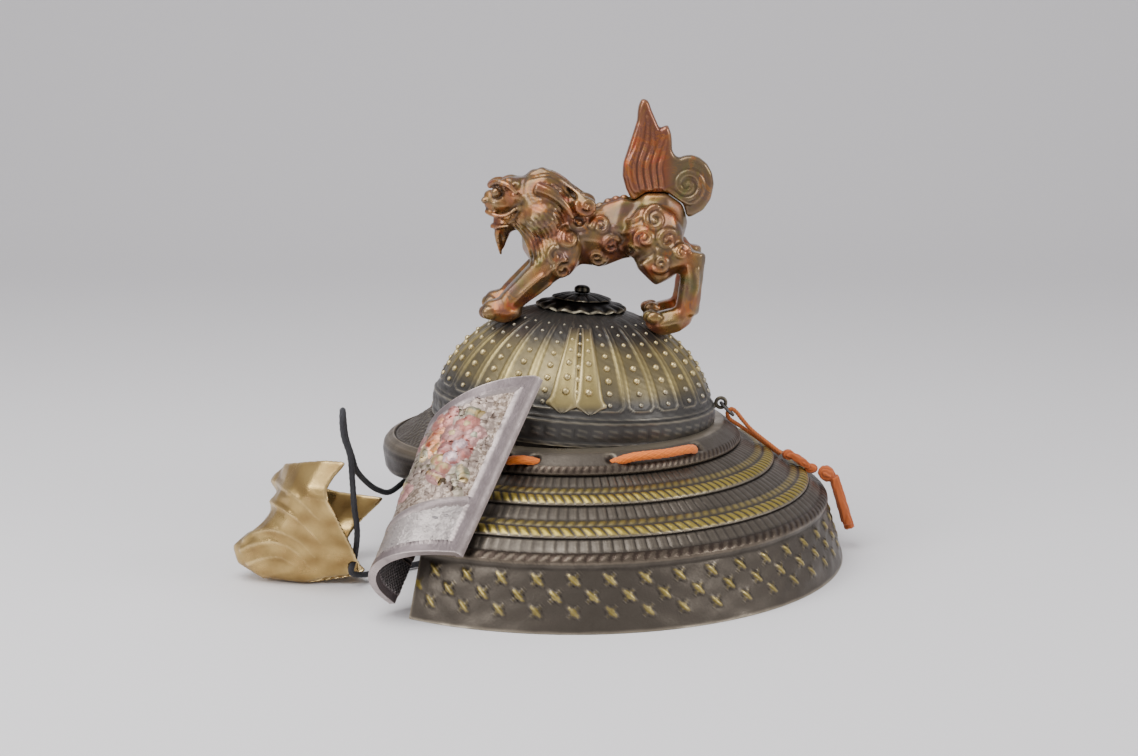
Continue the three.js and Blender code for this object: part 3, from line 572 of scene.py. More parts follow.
dyed = n.mix(n.maths("MULTIPLY", fuzz.outputs["Fac"], fibre, clamp=True), given.outputs["Dye"],
             given.outputs["Faded"])
# Painted shade: the cord is darkened where its surface sinks between the plaits.
sunk = n.mix(1.0, dyed, n.ramp(plait_shade_mask, (0.0, (0.30, 0.22, 0.2)), (1.0, (1, 1, 1))), "MULTIPLY")
n.tree.links.new(sunk, result.inputs["Color"])
n.tree.links.new(n.maths("MULTIPLY_ADD", fuzz.outputs["Fac"], 0.4, fibre), result.inputs["Height"])


def cloth_cord(name, dye, faded, lines, slant, sheen):
    n, skin = new_look(name)
    group = n.add("Group", node_tree=thread)
    for key, value in {"Dye": (*dye, 1), "Faded": (*faded, 1), "Lines": lines, "Slant": slant}.items():
        group.inputs[key].default_value = value
    raised = n.add("Bump", {"Height": group.outputs["Height"], "Strength": 0.5, "Distance": 0.0003})
    n.tree.links.new(group.outputs["Color"], skin.inputs["Base Color"])
    n.tree.links.new(raised.outputs["Normal"], skin.inputs["Normal"])
    skin.inputs["Roughness"].default_value = 0.75
    skin.inputs["Sheen Weight"].default_value = sheen


cloth_cord("orange braid", (0.80, 0.15, 0.010), (0.95, 0.30, 0.030), 12, 0.4, 0.15)
cloth_cord("orange twist", (0.50, 0.11, 0.018), (0.72, 0.24, 0.06), 14, -1.0, 0.2)
cloth_cord("black braid", (0.012, 0.012, 0.015), (0.06, 0.06, 0.07), 12, 0.4, 0.1)
print("looks:", ", ".join(LOOKS))

# %% [markdown]
# ## The neck guard
# On a real helmet this is a stack of lacquered plates laced with silk. The casting copies it in
# relief: rope edges, rows of upright scales, two bands of gilt stitches, and crossed stitches on
# the deep bottom plate. A grid is wrapped round the guard's section, fine enough that the relief
# is real shape. The same sums that raise a stitch also say where the gilt goes.

# %% Tools for relief
def smooth(x):
    x = np.clip(x, 0, 1)
    return x * x * (3 - 2 * x)


def ridge(distance, half):
    """1 on a line, falling smoothly to 0 at half its width."""
    return smooth(1 - np.abs(distance) / half)


def paint(piece, colours, amount):
    """Writes the tint that the patina reads: a colour and how much of it, point by point."""
    layer = piece.data.color_attributes.new("tint", "FLOAT_COLOR", "POINT")
    layer.data.foreach_set("color", np.column_stack([colours, amount]).astype(np.float32).ravel())


def sheet_of_points(columns, rows):
    """A grid primitive, with each point's column and row as shares from 0 to 1."""
    bpy.ops.object.select_all(action="DESELECT")
    bpy.ops.mesh.primitive_grid_add(x_subdivisions=columns, y_subdivisions=rows, size=2)
    grid = bpy.context.object
    at = (points_of(grid)[:, :2] + 1) / 2
    return grid, at[:, 0], at[:, 1]


# %% The guard's section, row by row
# Each row of the outer face ends at a distance out from the axis and a height.
GUARD_ROWS = [
    ("seat", 88.5, 79.0), ("neck", 90.5, 78.0), ("lame", 96.2, 73.6), ("rope", 98.8, 69.0),
    ("under rope", 97.6, 67.6), ("scales", 106.5, 63.6), ("small stitches", 112.0, 61.6),
    ("large stitches", 118.6, 57.8), ("step", 118.2, 56.4), ("scales", 127.4, 51.2),
    ("small stitches", 133.0, 49.4), ("large stitches", 139.2, 45.6), ("step", 138.8, 44.4),
    ("scales", 145.6, 39.0), ("thick rope", 150.6, 34.8), ("under rope", 149.4, 31.6),
    ("apron", 160.0, 0.0),
]
GUARD_INSIDE = [(155.8, 0.0), (145.0, 30.6), (94.0, 66.4), (87.5, 73.8), (79.0, 74.6), (79.0, 79.0),
                (88.5, 79.0)]
ROW_STEPS = {"seat": 0, "neck": 2, "lame": 6, "rope": 7, "under rope": 2, "scales": 9, "small stitches": 6,
             "large stitches": 8, "step": 2, "thick rope": 9, "apron": 34}
GUARD_FROM, GUARD_TO = 57, 303            # degrees from the front
SCALES = 150                              # scales in a full turn

kinds, down, outs, heights = ["seat"], [0.0], [88.5], [79.0]
for (_, out_a, z_a), (kind, out_b, z_b) in zip(GUARD_ROWS, GUARD_ROWS[1:]):
    for step in range(1, ROW_STEPS[kind] + 1):
        share = step / ROW_STEPS[kind]
        kinds.append(kind)
        down.append(share)
        outs.append(out_a + (out_b - out_a) * share)
        heights.append(z_a + (z_b - z_a) * share)
for out, z in GUARD_INSIDE:
    kinds.append("inside")
    down.append(0.0)
    outs.append(out)
    heights.append(z)
kinds, down, outs, heights = np.array(kinds), np.array(down), np.array(outs), np.array(heights)
print("section of", len(kinds), "points")

# %% Wrap the grid and raise the relief
COLUMNS_A_SCALE = 6
scales_in_guard = 102
guard, share, row_share = sheet_of_points(scales_in_guard * COLUMNS_A_SCALE, len(kinds) - 1)
row = np.rint(row_share * (len(kinds) - 1)).astype(int)
angle = np.radians(GUARD_FROM + (GUARD_TO - GUARD_FROM) * share)
kind, t = kinds[row], down[row]
scale = angle / (2 * np.pi) * SCALES
centre_side = np.sign(np.pi - angle)      # the patterns mirror from side to side


def lean(amount):
    """Where a point is across its scale, with the scales leaning forward as they go down."""
    return np.mod(scale + centre_side * amount * t, 1.0)


lift = np.zeros(len(scale))
gilt = np.zeros(len(scale))
rope_tone_and_pit_shade = np.zeros(len(scale))
rows_of = {name: kind == name for name in set(kinds)}

is_scales = rows_of["scales"]
u = lean(0.0)
lift += np.where(is_scales, 0.75 * (1 - np.abs(2 * u - 1) ** 5)
                 * np.sin(np.pi * np.clip(t, 0.04, 0.98)) ** 0.25
                 + 0.35 * centre_side * (u - 0.5), 0)
small = rows_of["small stitches"]
u = lean(0.45)
lift += np.where(small, 0.8 * np.sqrt(np.abs(np.sin(np.pi * u))) * np.sin(np.pi * np.clip(t, 0, 1)) ** 0.5, 0)
gilt += np.where(small, 0.75 * np.sin(np.pi * u) * np.sin(np.pi * t), 0)
large = rows_of["large stitches"]
u = lean(-0.75)
lift += np.where(large, 1.15 * np.sqrt(np.abs(np.sin(np.pi * u))) * np.sin(np.pi * np.clip(t, 0, 1)) ** 0.6,
                 0)
gilt += np.where(large, 1.0 * smooth(np.sin(np.pi * u) * 1.6 - 0.2) * smooth(np.sin(np.pi * t) * 1.8), 0)
for rope, tall, turn in (("rope", 0.8, 0.55), ("thick rope", 1.3, 0.6)):
    on = rows_of[rope]
    u = lean(turn)
    lift += np.where(on, tall * (np.sin(np.pi * t) ** 0.6) * (0.45 + 0.55
                                                              * np.abs(np.sin(np.pi * u)) ** 0.6), 0)
    rope_tone_and_pit_shade += np.where(on, 0.8, 0)

# %% Crossed stitches on the apron
# Three rows, each set half a step on from the row above. Each cross is two leaves, one fat.
apron = rows_of["apron"]
CROSS_ROWS = [(26.3, 0.0, 1.0), (18.3, 0.5, 1.0), (10.6, 0.0, 0.7)]
CROSS_STEP = 3                            # scales from one cross to the next
arc = 1.035 * outs[row] * 2 * np.pi / SCALES * CROSS_STEP
for z_cross, offset, strength in CROSS_ROWS:
    place_across = (np.mod(scale / CROSS_STEP + offset, 1.0) - 0.5) * arc * centre_side
    place_up = heights[row] - z_cross
    for lean_of, fat, tall, gold in ((-0.85, 1.75, 1.25, 1.0), (0.75, 1.15, 0.8, 0.25)):
        c, s = math.cos(lean_of), math.sin(lean_of)
        lengthwise = (place_up * c + place_across * s) / 5.6
        crosswise = (place_across * c - place_up * s) / fat
        leaf = smooth(1.25 * (1 - lengthwise ** 2 - crosswise ** 2 * (1 + 1.5 * lengthwise ** 2)))
        leaf = np.where(apron, leaf * strength, 0)
        lift = np.maximum(lift, tall * leaf)
        gilt = np.maximum(gilt, gold * smooth(leaf * 1.5 - 0.35))
wave = np.sin(angle * 31) * np.sin(heights[row] * 0.5 + np.sin(angle * 17))
lift += np.where(apron, 0.22 * wave, 0)

# %% Pits where the lace passes through, and the ends
for hole in (67.0, 77.0, 102.5, 138.5):
    for side_angle in (math.radians(hole), 2 * math.pi - math.radians(hole)):
        reach = np.hypot((angle - side_angle) * 95, np.where(kind == "lame", (t - 0.45) * 7.2, 99))
        pit = smooth(1.35 - reach / 3.1)
        lift -= 1.6 * pit
        # The pits are painted dark: painted shade in the lace holes.
        rope_tone_and_pit_shade = np.maximum(rope_tone_and_pit_shade, 1.0 * pit)
ends = smooth(np.minimum(share, 1 - share) * 60)
lift = np.where(kind == "inside", 0, lift * ends)
fall = np.gradient(heights), np.gradient(outs)
slope = np.hypot(*fall)
normal_out, normal_up = -fall[0] / slope, fall[1] / slope
normal_out[-8:], normal_up[-8:] = 0, 0
out = outs[row] + lift * normal_out[row]
z = np.maximum(heights[row] + lift * normal_up[row], 0)
move_points(guard, metres(np.column_stack([out * WIDEN * np.sin(angle), -out * np.cos(angle), z])))

# %% Gild it, close it, and hand it over
GILT = np.array([0.36, 0.27, 0.035])
# The rope rows have a dark tone of their own; the same dark in the lace pits is painted shade.
ROPE_TONE_AND_PIT_SHADE = np.array([0.045, 0.028, 0.020])
APRON = np.array([0.085, 0.070, 0.055])
brown = np.where(apron, 0.45, 0)
cover = np.clip(gilt + rope_tone_and_pit_shade + brown, 0, 1)
mixed = (gilt[:, None] * GILT + (rope_tone_and_pit_shade * (1 - np.clip(gilt, 0, 1)))[:, None] * ROPE_TONE_AND_PIT_SHADE + brown[:, None] * APRON)
mixed /= np.maximum((gilt + rope_tone_and_pit_shade * (1 - np.clip(gilt, 0, 1)) + brown), 1e-6)[:, None]
paint(guard, mixed, cover)
close_section(guard)
settle("laced_guard")
soften(guard, 55)
finished(guard, "guard bronze", "guard_bronze", "neck_guard")

# %% [markdown]
# ## The bowl
# The real bowl copies one that is riveted from many upright plates. Each plate is edged by a
# raised line that ends in a U above the plain band, and holds a column of rivets that grow
# downwards. A grid is wrapped round the dome in the same way as on the guard, and the rivets are
# one small dome, modelled once and set on the surface many times.

# %% The dome and its raised lines
BOWL_RADIUS, BOWL_RISE, BAND, SEAT = 83.0, 69.0, 15.0, 79.0
BOWL_TILT = math.radians(4)
PANELS = 26
BOWL_WALL = 4.0


def dome_radius(height):
    return BOWL_RADIUS * np.sqrt(np.clip(1 - (np.asarray(height) / BOWL_RISE) ** 2, 0, 1))


def on_bowl(angle, height, proud=0.0):
    """A point of the bowl in millimetres: angle from the front, height above the seat."""
    shape_height = np.maximum(np.asarray(height, float), 0)
    radius = np.where(shape_height < BAND, BOWL_RADIUS, dome_radius(shape_height))
    slope = np.where(shape_height < BAND, 0, shape_height / BOWL_RISE * (BOWL_RADIUS / BOWL_RISE))
    flatness = np.sqrt(1 - np.clip(shape_height / BOWL_RISE, 0, 0.9999) ** 2)
    rise = slope * radius / BOWL_RADIUS / np.maximum(flatness, 0.02)
    steep = np.hypot(1, rise)
    r = radius + proud / steep
    h = np.asarray(height, float) + proud * rise / steep
    x, y = r * np.sin(angle), -r * np.cos(angle)
    c, s = math.cos(-BOWL_TILT), math.sin(-BOWL_TILT)
    return np.stack([x, y * c - h * s, y * s + h * c + SEAT], axis=-1)


BAND_SHARE = 0.16                         # rows given to the band
bowl, share, up = sheet_of_points(PANELS * 18, 120)
angle = share * 2 * np.pi
band_angle = math.asin((BAND + 1) / BOWL_RISE)
dome_share = np.clip(up - BAND_SHARE, 0, 1) / (1 - BAND_SHARE)
height = np.where(up < BAND_SHARE, up / BAND_SHARE * (BAND + 1),
                  BOWL_RISE * np.sin(band_angle + dome_share * (math.pi / 2 - band_angle)))
radius = np.where(height < BAND, BOWL_RADIUS, dome_radius(height))
across = (np.mod(angle / (2 * np.pi) * PANELS, 1.0) - 0.5) * 2 * np.pi / PANELS * radius
half = np.pi / PANELS * radius
line_at = half - np.clip(1.9 * radius / BOWL_RADIUS, 0.5, 2)
foot_line = BAND + 5.2
corner = np.minimum(4.0, line_at * 0.8)
over = np.maximum(np.abs(across) - (line_at - corner), 0)
under = np.maximum((foot_line + corner) - height, 0)
to_line = np.where(height < foot_line + corner, np.hypot(over, under) - corner, np.abs(across) - line_at)
lift = 0.75 * ridge(to_line, 1.1) * smooth((height - foot_line + 2) / 2) * smooth((64 - height) / 6)
lift += 0.5 * smooth((to_line) / 1.2) * smooth((height - foot_line) / 2) * smooth((66 - height) / 6)
rib_line = ridge(to_line - 0.2, 2.2) * smooth((height - foot_line) / 4)
band_top = ridge(height - (BAND + 0.8), 1.8)
scallops = np.where(height < BAND, np.abs(np.sin(angle * 30)) ** 0.5 * smooth((height - 3.5) / 4)
                    * smooth((12.5 - height) / 3), 0)
lift += 0.7 * band_top + 0.55 * scallops + np.where(height < 3, 0.5, 0)
lift += 0.12 * np.sin(angle * 47 + height) * np.sin(height * 0.9 + angle * 13)
move_points(bowl, metres(on_bowl(angle, height + 0.4 * (height < 0.4), lift)))

# %% Rub the middle of the dome to gold
GOLD = np.array([0.40, 0.31, 0.115])
zone = smooth((height - 22) / 12) * smooth((57 - height) / 10)
patches = 0.5 + 0.5 * np.sin(angle * 9 + 2 * np.sin(height * 0.14)) * np.sin(height * 0.31 + angle * 4)
gold = zone * (0.30 + 0.22 * patches + 0.5 * ridge(to_line, 2.4))
paint(bowl, np.tile(GOLD, (len(gold), 1)), np.clip(gold, 0, 1))
merge_and_turn_out(bowl)
settle("ribbed_bowl")
give_wall(bowl, BOWL_WALL)
soften(bowl, 50)
finished(bowl, "bowl bronze", "bowl_bronze", "bowl")

# %% [markdown]
# The rivets are small, so each has few faces. One dome is cut from a sphere, and copies stand on
# the bowl with their axis along its normal.

# %% Rivets
def surface_place(angle, height, proud, scale=(1, 1, 1)):
    """A matrix that stands a piece on the bowl, its own Z along the normal, X sideways."""
    at, above = on_bowl(angle, height, proud), on_bowl(angle, height, proud + 1)
    normal = Vector(above - at).normalized()
    sideways = Vector(on_bowl(angle + 0.02, height, proud) - at)
    sideways = (sideways - normal * sideways.dot(normal)).normalized()
    turn = Matrix((sideways, normal.cross(sideways), normal)).transposed().to_4x4()
    return Matrix.Translation(metres(at)) @ turn @ Matrix.Diagonal((*scale, 1))


def dome(name, radius, tall, segments=12):
    bpy.ops.object.select_all(action="DESELECT")
    bpy.ops.mesh.primitive_uv_sphere_add(segments=segments, ring_count=8, radius=radius * MM)
    rivet = bpy.context.object
    in_edit(rivet, lambda: bpy.ops.mesh.bisect(plane_co=(0, 0, -0.1 * radius * MM), plane_no=(0, 0, 1),
                                               clear_inner=True, use_fill=True),
            lambda: bpy.ops.mesh.select_all(action="SELECT"),
            lambda: bpy.ops.transform.resize(value=(1, 1, tall)))
    settle(name)
    bpy.ops.object.shade_smooth()
    return rivet


rivet = dome("rivet", 1.0, 0.95)
RIVET_HEIGHTS = [23.5, 29.5, 35.8, 42, 47.8, 53, 57.4, 61]
RIVET_SIZES = [1.45, 1.75, 1.95, 1.9, 1.6, 1.3, 1.05, 0.8]
copies = []
for panel in range(PANELS):
    for rivet_height, size in zip(RIVET_HEIGHTS, RIVET_SIZES):
        middle = (panel + 0.5) / PANELS * 2 * math.pi
        copies.append(twin(rivet, surface_place(middle, rivet_height, 0.0, (size, size, size))))
rivets = join(copies, "bowl_rivets")
bpy.data.objects.remove(rivet)
heights_of = points_of(rivets)[:, 2] / MM - SEAT
gold = smooth((heights_of - 24) / 8) * smooth((58 - heights_of) / 9)
paint(rivets, np.tile(GOLD * 1.25, (len(gold), 1)), 0.8 * gold)
finished(rivets, "bowl bronze", "bowl_bronze")

# %% [markdown]
# ## The finial
# A sixteen-leaf wavy seat, a ribbed petal skirt and a small knob crown the bowl. Each is a grid
# wrapped round the axis: the wave in the seat's edge and the ribs in the skirt are real shape.

# %% Turned and waved pieces for the crown
def waved_turning(name, profile, segments, wave):
    """Wraps a closed profile of (out, height) round the bowl's axis; wave adds to each point."""
    profile = np.asarray(profile, float)
    sheet, share, row_share = sheet_of_points(segments, len(profile) - 1)
    row = np.rint(row_share * (len(profile) - 1)).astype(int)
    angle = share * 2 * np.pi
    out, h = profile[row, 0], profile[row, 1]
    out, h = wave(angle, out, h)
    c, s = math.cos(-BOWL_TILT), math.sin(-BOWL_TILT)
    x, y = out * np.sin(angle), -out * np.cos(angle)
    move_points(sheet, metres(np.column_stack([x, y * c - h * s, y * s + h * c + SEAT])))
    merge_and_turn_out(sheet)
    settle(name)
    soften(sheet, 45)
    return sheet


def along_profile(points, steps):
    line, _ = smooth_line([(a, 0, b) for a, b in points], steps)
    return line[:, [0, 2]]


seat_profile = along_profile([(0.01, 69.9), (14, 69.1), (25, 66.4), (26.6, 66.4), (26.2, 67.6), (20, 69.8),
                              (17, 70.8), (8, 71.2), (0.01, 71.2)], 0.8)
seat = waved_turning("finial_dish", seat_profile, 16 * 14, lambda a, out, h: (
    out + 0.9 * (np.abs(np.cos(8 * a)) - 0.9) * smooth((out - 16) / 8),
    h + 0.5 * np.cos(16 * a) * smooth((out - 18) / 7)))
finished(seat, "bowl bronze", "bowl_bronze", "finial_seat")
skirt_profile = along_profile([(0.01, 71.7), (16.4, 71.7), (17.6, 72.0), (15, 73.0), (11, 74.0), (7, 74.5),
                               (0.01, 74.4)], 0.5)
skirt = waved_turning("finial_skirt", skirt_profile, 14 * 12, lambda a, out, h: (
    out + 0.5 * (np.abs(np.cos(7 * a)) ** 0.5 - 1) * smooth((out - 10) / 6),
    h + 0.55 * (np.abs(np.sin(7 * a)) ** 0.5 - 0.8) * smooth((out - 4) / 4) * smooth((h - 71.75) / 0.6)))
finished(skirt, "bowl bronze", "bowl_bronze", "finial_petals")
knob_profile = along_profile([(0.01, 74.9), (3.4, 74.9), (4.7, 76.1), (4.4, 77.9), (2.6, 79.1),
                              (0.01, 79.5)], 0.3)
knob = waved_turning("finial_bud", knob_profile, 48, lambda a, out, h: (out * (1 - 0.04 * np.cos(8 * a)), h))
finished(knob, "bowl bronze", "bowl_bronze", "finial_knob")

# %% [markdown]
# ## The ornament on each side of the bowl
# Two tongues hang beside each other, each with five rivets and a cloud-shaped foot, and a long V
# of plain metal shows between them. A tongue starts as a grid that is squeezed to its outline and
# laid on the bowl's surface.

# %% Two tongues with cloud feet
TONGUE_TOP, TONGUE_FOOT = 60, 18.2
TONGUE_SPREAD = 0.075                     # radians from the pair's middle line
# height above the seat, half width
TONGUE = [(60, 2.6), (52, 3.6), (44, 5.0), (36, 6.2), (30, 6.8), (26, 7.6), (23.5, 9.6), (22, 9.2),
          (21, 6.0), (19.5, 4.0), (18.2, 0.4)]


def tongue(name, centre, side):
    sheet, across, up = sheet_of_points(14, 40)
    table_up = np.array([h for h, _ in TONGUE][::-1], float)
    table_half = np.array([w for _, w in TONGUE][::-1], float)
    height = TONGUE_FOOT + (TONGUE_TOP - TONGUE_FOOT) * up
    half = np.interp(height, table_up, table_half)
    lean_in = side * (1 - up) * 1.0
    offset = (across * 2 - 1) * half + side * 0.8 * (1 - up)
    angle = centre + side * TONGUE_SPREAD + (offset + lean_in) / np.maximum(dome_radius(height), 20)
    rim = smooth((1 - np.abs(across * 2 - 1)) * 5)
    ends = smooth(np.minimum(up, 1 - up) * 30)
    move_points(sheet, metres(on_bowl(angle, height, 0.4 + 1.0 * np.minimum(rim, ends) + 0.25
                                      * ridge(np.abs(across * 2 - 1) - 0.75, 0.3))))
    in_edit(sheet, lambda: bpy.ops.mesh.normals_make_consistent(inside=False))
    settle(name)
    return sheet


ornaments = []
TONGUE_RIVETS = [(29.5, 2.3), (36.5, 2.2), (43.5, 2.0), (49.5, 1.5), (54.5, 1.1)]
bud = dome("bud", 1.0, 0.95, 16)
for side_angle in (math.pi / 2, 3 * math.pi / 2):
    for side in (-1, 1):
        ornaments.append(tongue("tongue", side_angle, side))
        for rivet_height, size in TONGUE_RIVETS:
            angle = side_angle + side * (TONGUE_SPREAD + 0.6 / 70)
            ornaments.append(twin(bud, surface_place(angle, rivet_height, 1.0, (size, size, size))))
bpy.data.objects.remove(bud)
side_ornament = join(ornaments, "side_ornament")
soften(side_ornament, 50)
heights_of = points_of(side_ornament)[:, 2] / MM - SEAT
gold = smooth((heights_of - 18) / 7) * smooth((62 - heights_of) / 9)
paint(side_ornament, np.tile(GOLD * 1.1, (len(gold), 1)), 0.75 * gold)
finished(side_ornament, "bowl bronze", "bowl_bronze")

# %% [markdown]
# ## The brim
# The brim's top has the grain of leather, cut as short crossing strokes, inside a plain rolled
# edge. Its wall turns down, dark and shiny. The section is wrapped in an arc under the bowl.

# %% The brim, with its tooled top
BRIM_CENTRE, BRIM_RADIUS, BRIM_SPREAD = -19.0, 93.0, 47.0
brim_sheet, share, row_share = sheet_of_points(150, 96)
angle = np.radians(BRIM_SPREAD * (2 * share - 1))
away = BRIM_CENTRE * np.cos(angle)
edge = -away + np.sqrt(BRIM_RADIUS ** 2 - (BRIM_CENTRE * np.sin(angle)) ** 2)
root = np.full(len(angle), 80.5)
side_fall = (np.abs(share - 0.5) * 2) ** 2
top = 84.5 - 2.5 * side_fall
rim = top - (edge - 77) * 0.5
drop = 17 * (1 - 0.35 * side_fall)
corners = [(root, rim + (edge - root) * 0.5 + 1), (root + 5, top - 1.3), (edge - 7, rim + 3.6),
           (edge - 6, rim + 4.7), (edge - 2.6, rim + 3.1),
           (edge - 0.2, rim + 0.2), (edge + 0.5, rim - 4), (edge - 0.8, rim - drop + 3.4),
           (edge - 2.4, rim - drop + 0.8),
           (edge - 4.4, rim - drop + 0.1), (edge - 6.6, rim - drop + 1.2), (edge - 5.4, rim - drop + 5),
           (edge - 5, rim - 3.4),
           (edge - 8, rim - 0.8), (root, top - 4), (root, rim + (edge - root) * 0.5 + 1)]
marks = np.array([0, 0.08, 0.46, 0.49, 0.55, 0.60, 0.64, 0.74, 0.77, 0.80, 0.83, 0.86, 0.92, 0.95, 0.98, 1.0])
out, z = np.zeros(len(share)), np.zeros(len(share))
for (r0, z0), (r1, z1), m0, m1 in zip(corners, corners[1:], marks, marks[1:]):
    on = (row_share >= m0 - 1e-9) & (row_share <= m1 + 1e-9)
    f = np.clip((row_share - m0) / (m1 - m0), 0, 1)
    out = np.where(on, r0 + (r1 - r0) * f, out)
    z = np.where(on, z0 + (z1 - z0) * f, z)
tooled = smooth((0.445 - row_share) / 0.02) * smooth(row_share / 0.02)
tooled = tooled * smooth(np.minimum(share, 1 - share) * 60)
stroke = np.sin(out * np.sin(angle) * 1.5 + 3.2 * np.sin(out * 0.42 + 2 * np.sin(angle * 9)))
stroke = stroke * np.sin(out * 1.25 + 2.0 * np.sin(out * np.sin(angle) * 0.32))
z = z + tooled * (0.55 * np.clip(stroke + 0.15, 0, 1) ** 0.7 - 0.35)
move_points(brim_sheet, metres(np.column_stack([out * np.sin(angle), -out * np.cos(angle), z])))
shiny = smooth((row_share - 0.60) / 0.03) * smooth((0.84 - row_share) / 0.02)
rolled = smooth((row_share - 0.47) / 0.02) * smooth((0.60 - row_share) / 0.02)
LACQUER, TAN = np.array([0.03, 0.022, 0.02]), np.array([0.20, 0.16, 0.11])
paint(brim_sheet, shiny[:, None] * LACQUER + rolled[:, None] * TAN,
      np.clip(0.85 * shiny + 0.7 * rolled, 0, 1))
close_section(brim_sheet)
settle("leather_grained_brim")
soften(brim_sheet, 50)
finished(brim_sheet, "guard bronze", "guard_bronze", "brim")

# %% [markdown]
# ## The side plates
# Each plate is folded like a J and framed by a raised flat border. Its field is sandy and carries
# flowers, leaves and scrolls in low relief, picked out in red, orange, green and a pearly mauve.
# Below a raised lip runs a band of fine crossed cuts. The relief is drawn in the plate's own flat
# coordinates, along its width and up its length, and the right plate is the left one mirrored.

# %% The plate's section and slope
PLATE_LEAN, PLATE_SKEW, PLATE_NARROW = math.radians(42.4), 0.38, 0.13
PLATE_WALL = 4.3
PLATE_FOOT = np.array([155.0, -61.0, 37.0])
PLATE_SECTION = np.array([    # forward, inward, foot, head
    (0, 0, 0, 108), (6, -0.6, 0, 107.4), (16, -1.4, -0.2, 105.4), (25, -1.2, -0.8, 102),
    (33, 0.6, -1.6, 97.4),
    (40, 4.4, -2.6, 91.5), (44.6, 10, -3.8, 86), (46, 16.5, -5, 82), (44.4, 23.5, -6.4, 79),
    (40, 30.5, -7.8, 77),
    (34.5, 36.5, -9, 76)], float)
OUTWARD = np.array([math.cos(PLATE_LEAN), 0, math.sin(PLATE_LEAN)])
RISE = np.array([-math.sin(PLATE_LEAN), PLATE_SKEW, math.cos(PLATE_LEAN)])

run_in, _ = smooth_line(PLATE_SECTION[:, :3], 0.5)
ends_in, _ = smooth_line(PLATE_SECTION[:, [0, 1, 3]], 0.5)
head_in = np.interp(np.linspace(0, 1, len(run_in)), np.linspace(0, 1, len(ends_in)), ends_in[:, 2])
across_mm = np.concatenate([[0], np.cumsum(np.hypot(*np.diff(run_in[:, :2], axis=0).T))])
print("plate is", round(across_mm[-1]), "mm round its fold")

# %% Petals, bosses and curls in flat coordinates
RED, ORANGE, OCHRE = (0.34, 0.030, 0.016), (0.60, 0.17, 0.025), (0.40, 0.27, 0.07)
GREEN, MAUVE, ROSE = (0.10, 0.13, 0.055), (0.50, 0.34, 0.38), (0.30, 0.085, 0.085)


class Relief:
    """A height and a colour for each point of a flat field, built up stroke by stroke."""

    def __init__(self, x, y):
        self.x, self.y = x, y
        self.height = np.zeros(len(x))
        self.colour = np.zeros((len(x), 3))
        self.amount = np.zeros(len(x))

    def add(self, shape, tall, colour, strength=0.85):
        self.height = np.maximum(self.height, tall * shape)
        cover = np.clip(shape * 2, 0, 1) * strength
        self.colour = self.colour * (1 - cover[:, None]) + np.array(colour) * cover[:, None]
        self.amount = np.maximum(self.amount * (1 - cover), cover)

    def boss(self, x, y, long, wide, turn, tall, colour):
        c, s = math.cos(math.radians(turn)), math.sin(math.radians(turn))
        dx, dy = self.x - x, self.y - y
        reach = ((dx * c + dy * s) / long) ** 2 + ((dy * c - dx * s) / wide) ** 2
        self.add(np.sqrt(np.clip(1 - reach, 0, 1)), tall, colour)

    def stroke(self, points, wide, tall, colour):
        line, _ = smooth_line([(a, b, 0) for a, b in points], 0.4)
        near = np.full(len(self.x), 99.0)
        for i, (a, b, _) in enumerate(line):
            thin = 1 - 0.65 * i / len(line)
            near = np.minimum(near, np.hypot(self.x - a, self.y - b) / (wide * thin))
        self.add(np.sqrt(np.clip(1 - near ** 2, 0, 1)), tall, colour)

    def curl(self, x, y, radius, start, turns, wide, tall, colour):
        steps = np.linspace(0, 1, 26)
        angle = np.radians(start) + steps * turns * 2 * np.pi
        r = radius * (1 - 0.85 * steps)
        self.stroke(list(zip(x + r * np.cos(angle), y + r * np.sin(angle))), wide, tall, colour)

    def flower(self, x, y, size, petals, tall, colour, heart):
        for k in range(petals):
            a = 2 * math.pi * k / petals + x
            self.boss(x + 0.62 * size * math.cos(a), y + 0.62 * size * math.sin(a), 0.46 * size, 0.34 * size,
                      math.degrees(a), tall, colour)
        self.boss(x, y, 0.3 * size, 0.3 * size, 0, tall * 1.15, heart)

    def leaf(self, x, y, long, wide, turn, tall, colour, vein):
        self.boss(x, y, long, wide, turn, tall, colour)
        c, s = math.cos(math.radians(turn)), math.sin(math.radians(turn))
        self.stroke([(x - long * c, y - long * s), (x, y), (x + long * c, y + long * s)], 0.5, tall * 1.2,
                    vein)


# %% What grows on the plate, in millimetres on its flat sheet
SCROLLS = [   # across, up, radius, start in degrees, turns
    (31, 85, 6, 200, 1.1), (22, 91, 5, 30, -1.1), (19, 40, 5.5, 0, 1.2), (29, 34, 4.5, 200, -1.0),
    (50, 44, 6, 90, 1.1), (55, 62, 6.5, 250, -1.2), (15, 54, 4.5, 90, -1.0), (48, 82, 6, 0, 1.1),
    (60, 76, 5, 180, 1.2), (64, 50, 6, 100, 1.1), (38, 51, 5, 330, 1.0), (15, 80, 4.5, 250, 1.0),
    (40, 93, 4.5, 60, 1.0), (66, 64, 4, 0, -1.0), (58, 36, 5, 60, 1.0), (12, 64, 3.5, 20, 1.0),
]
STEMS = [   # each a line of (across, up)
    [(14, 34), (22, 46), (24, 56), (30, 66), (28, 78), (33, 88)],
    [(24, 56), (36, 52), (47, 58), (52, 70), (48, 84)], [(47, 58), (56, 52), (62, 42)],
    [(30, 66), (40, 74), (42, 86)],
]
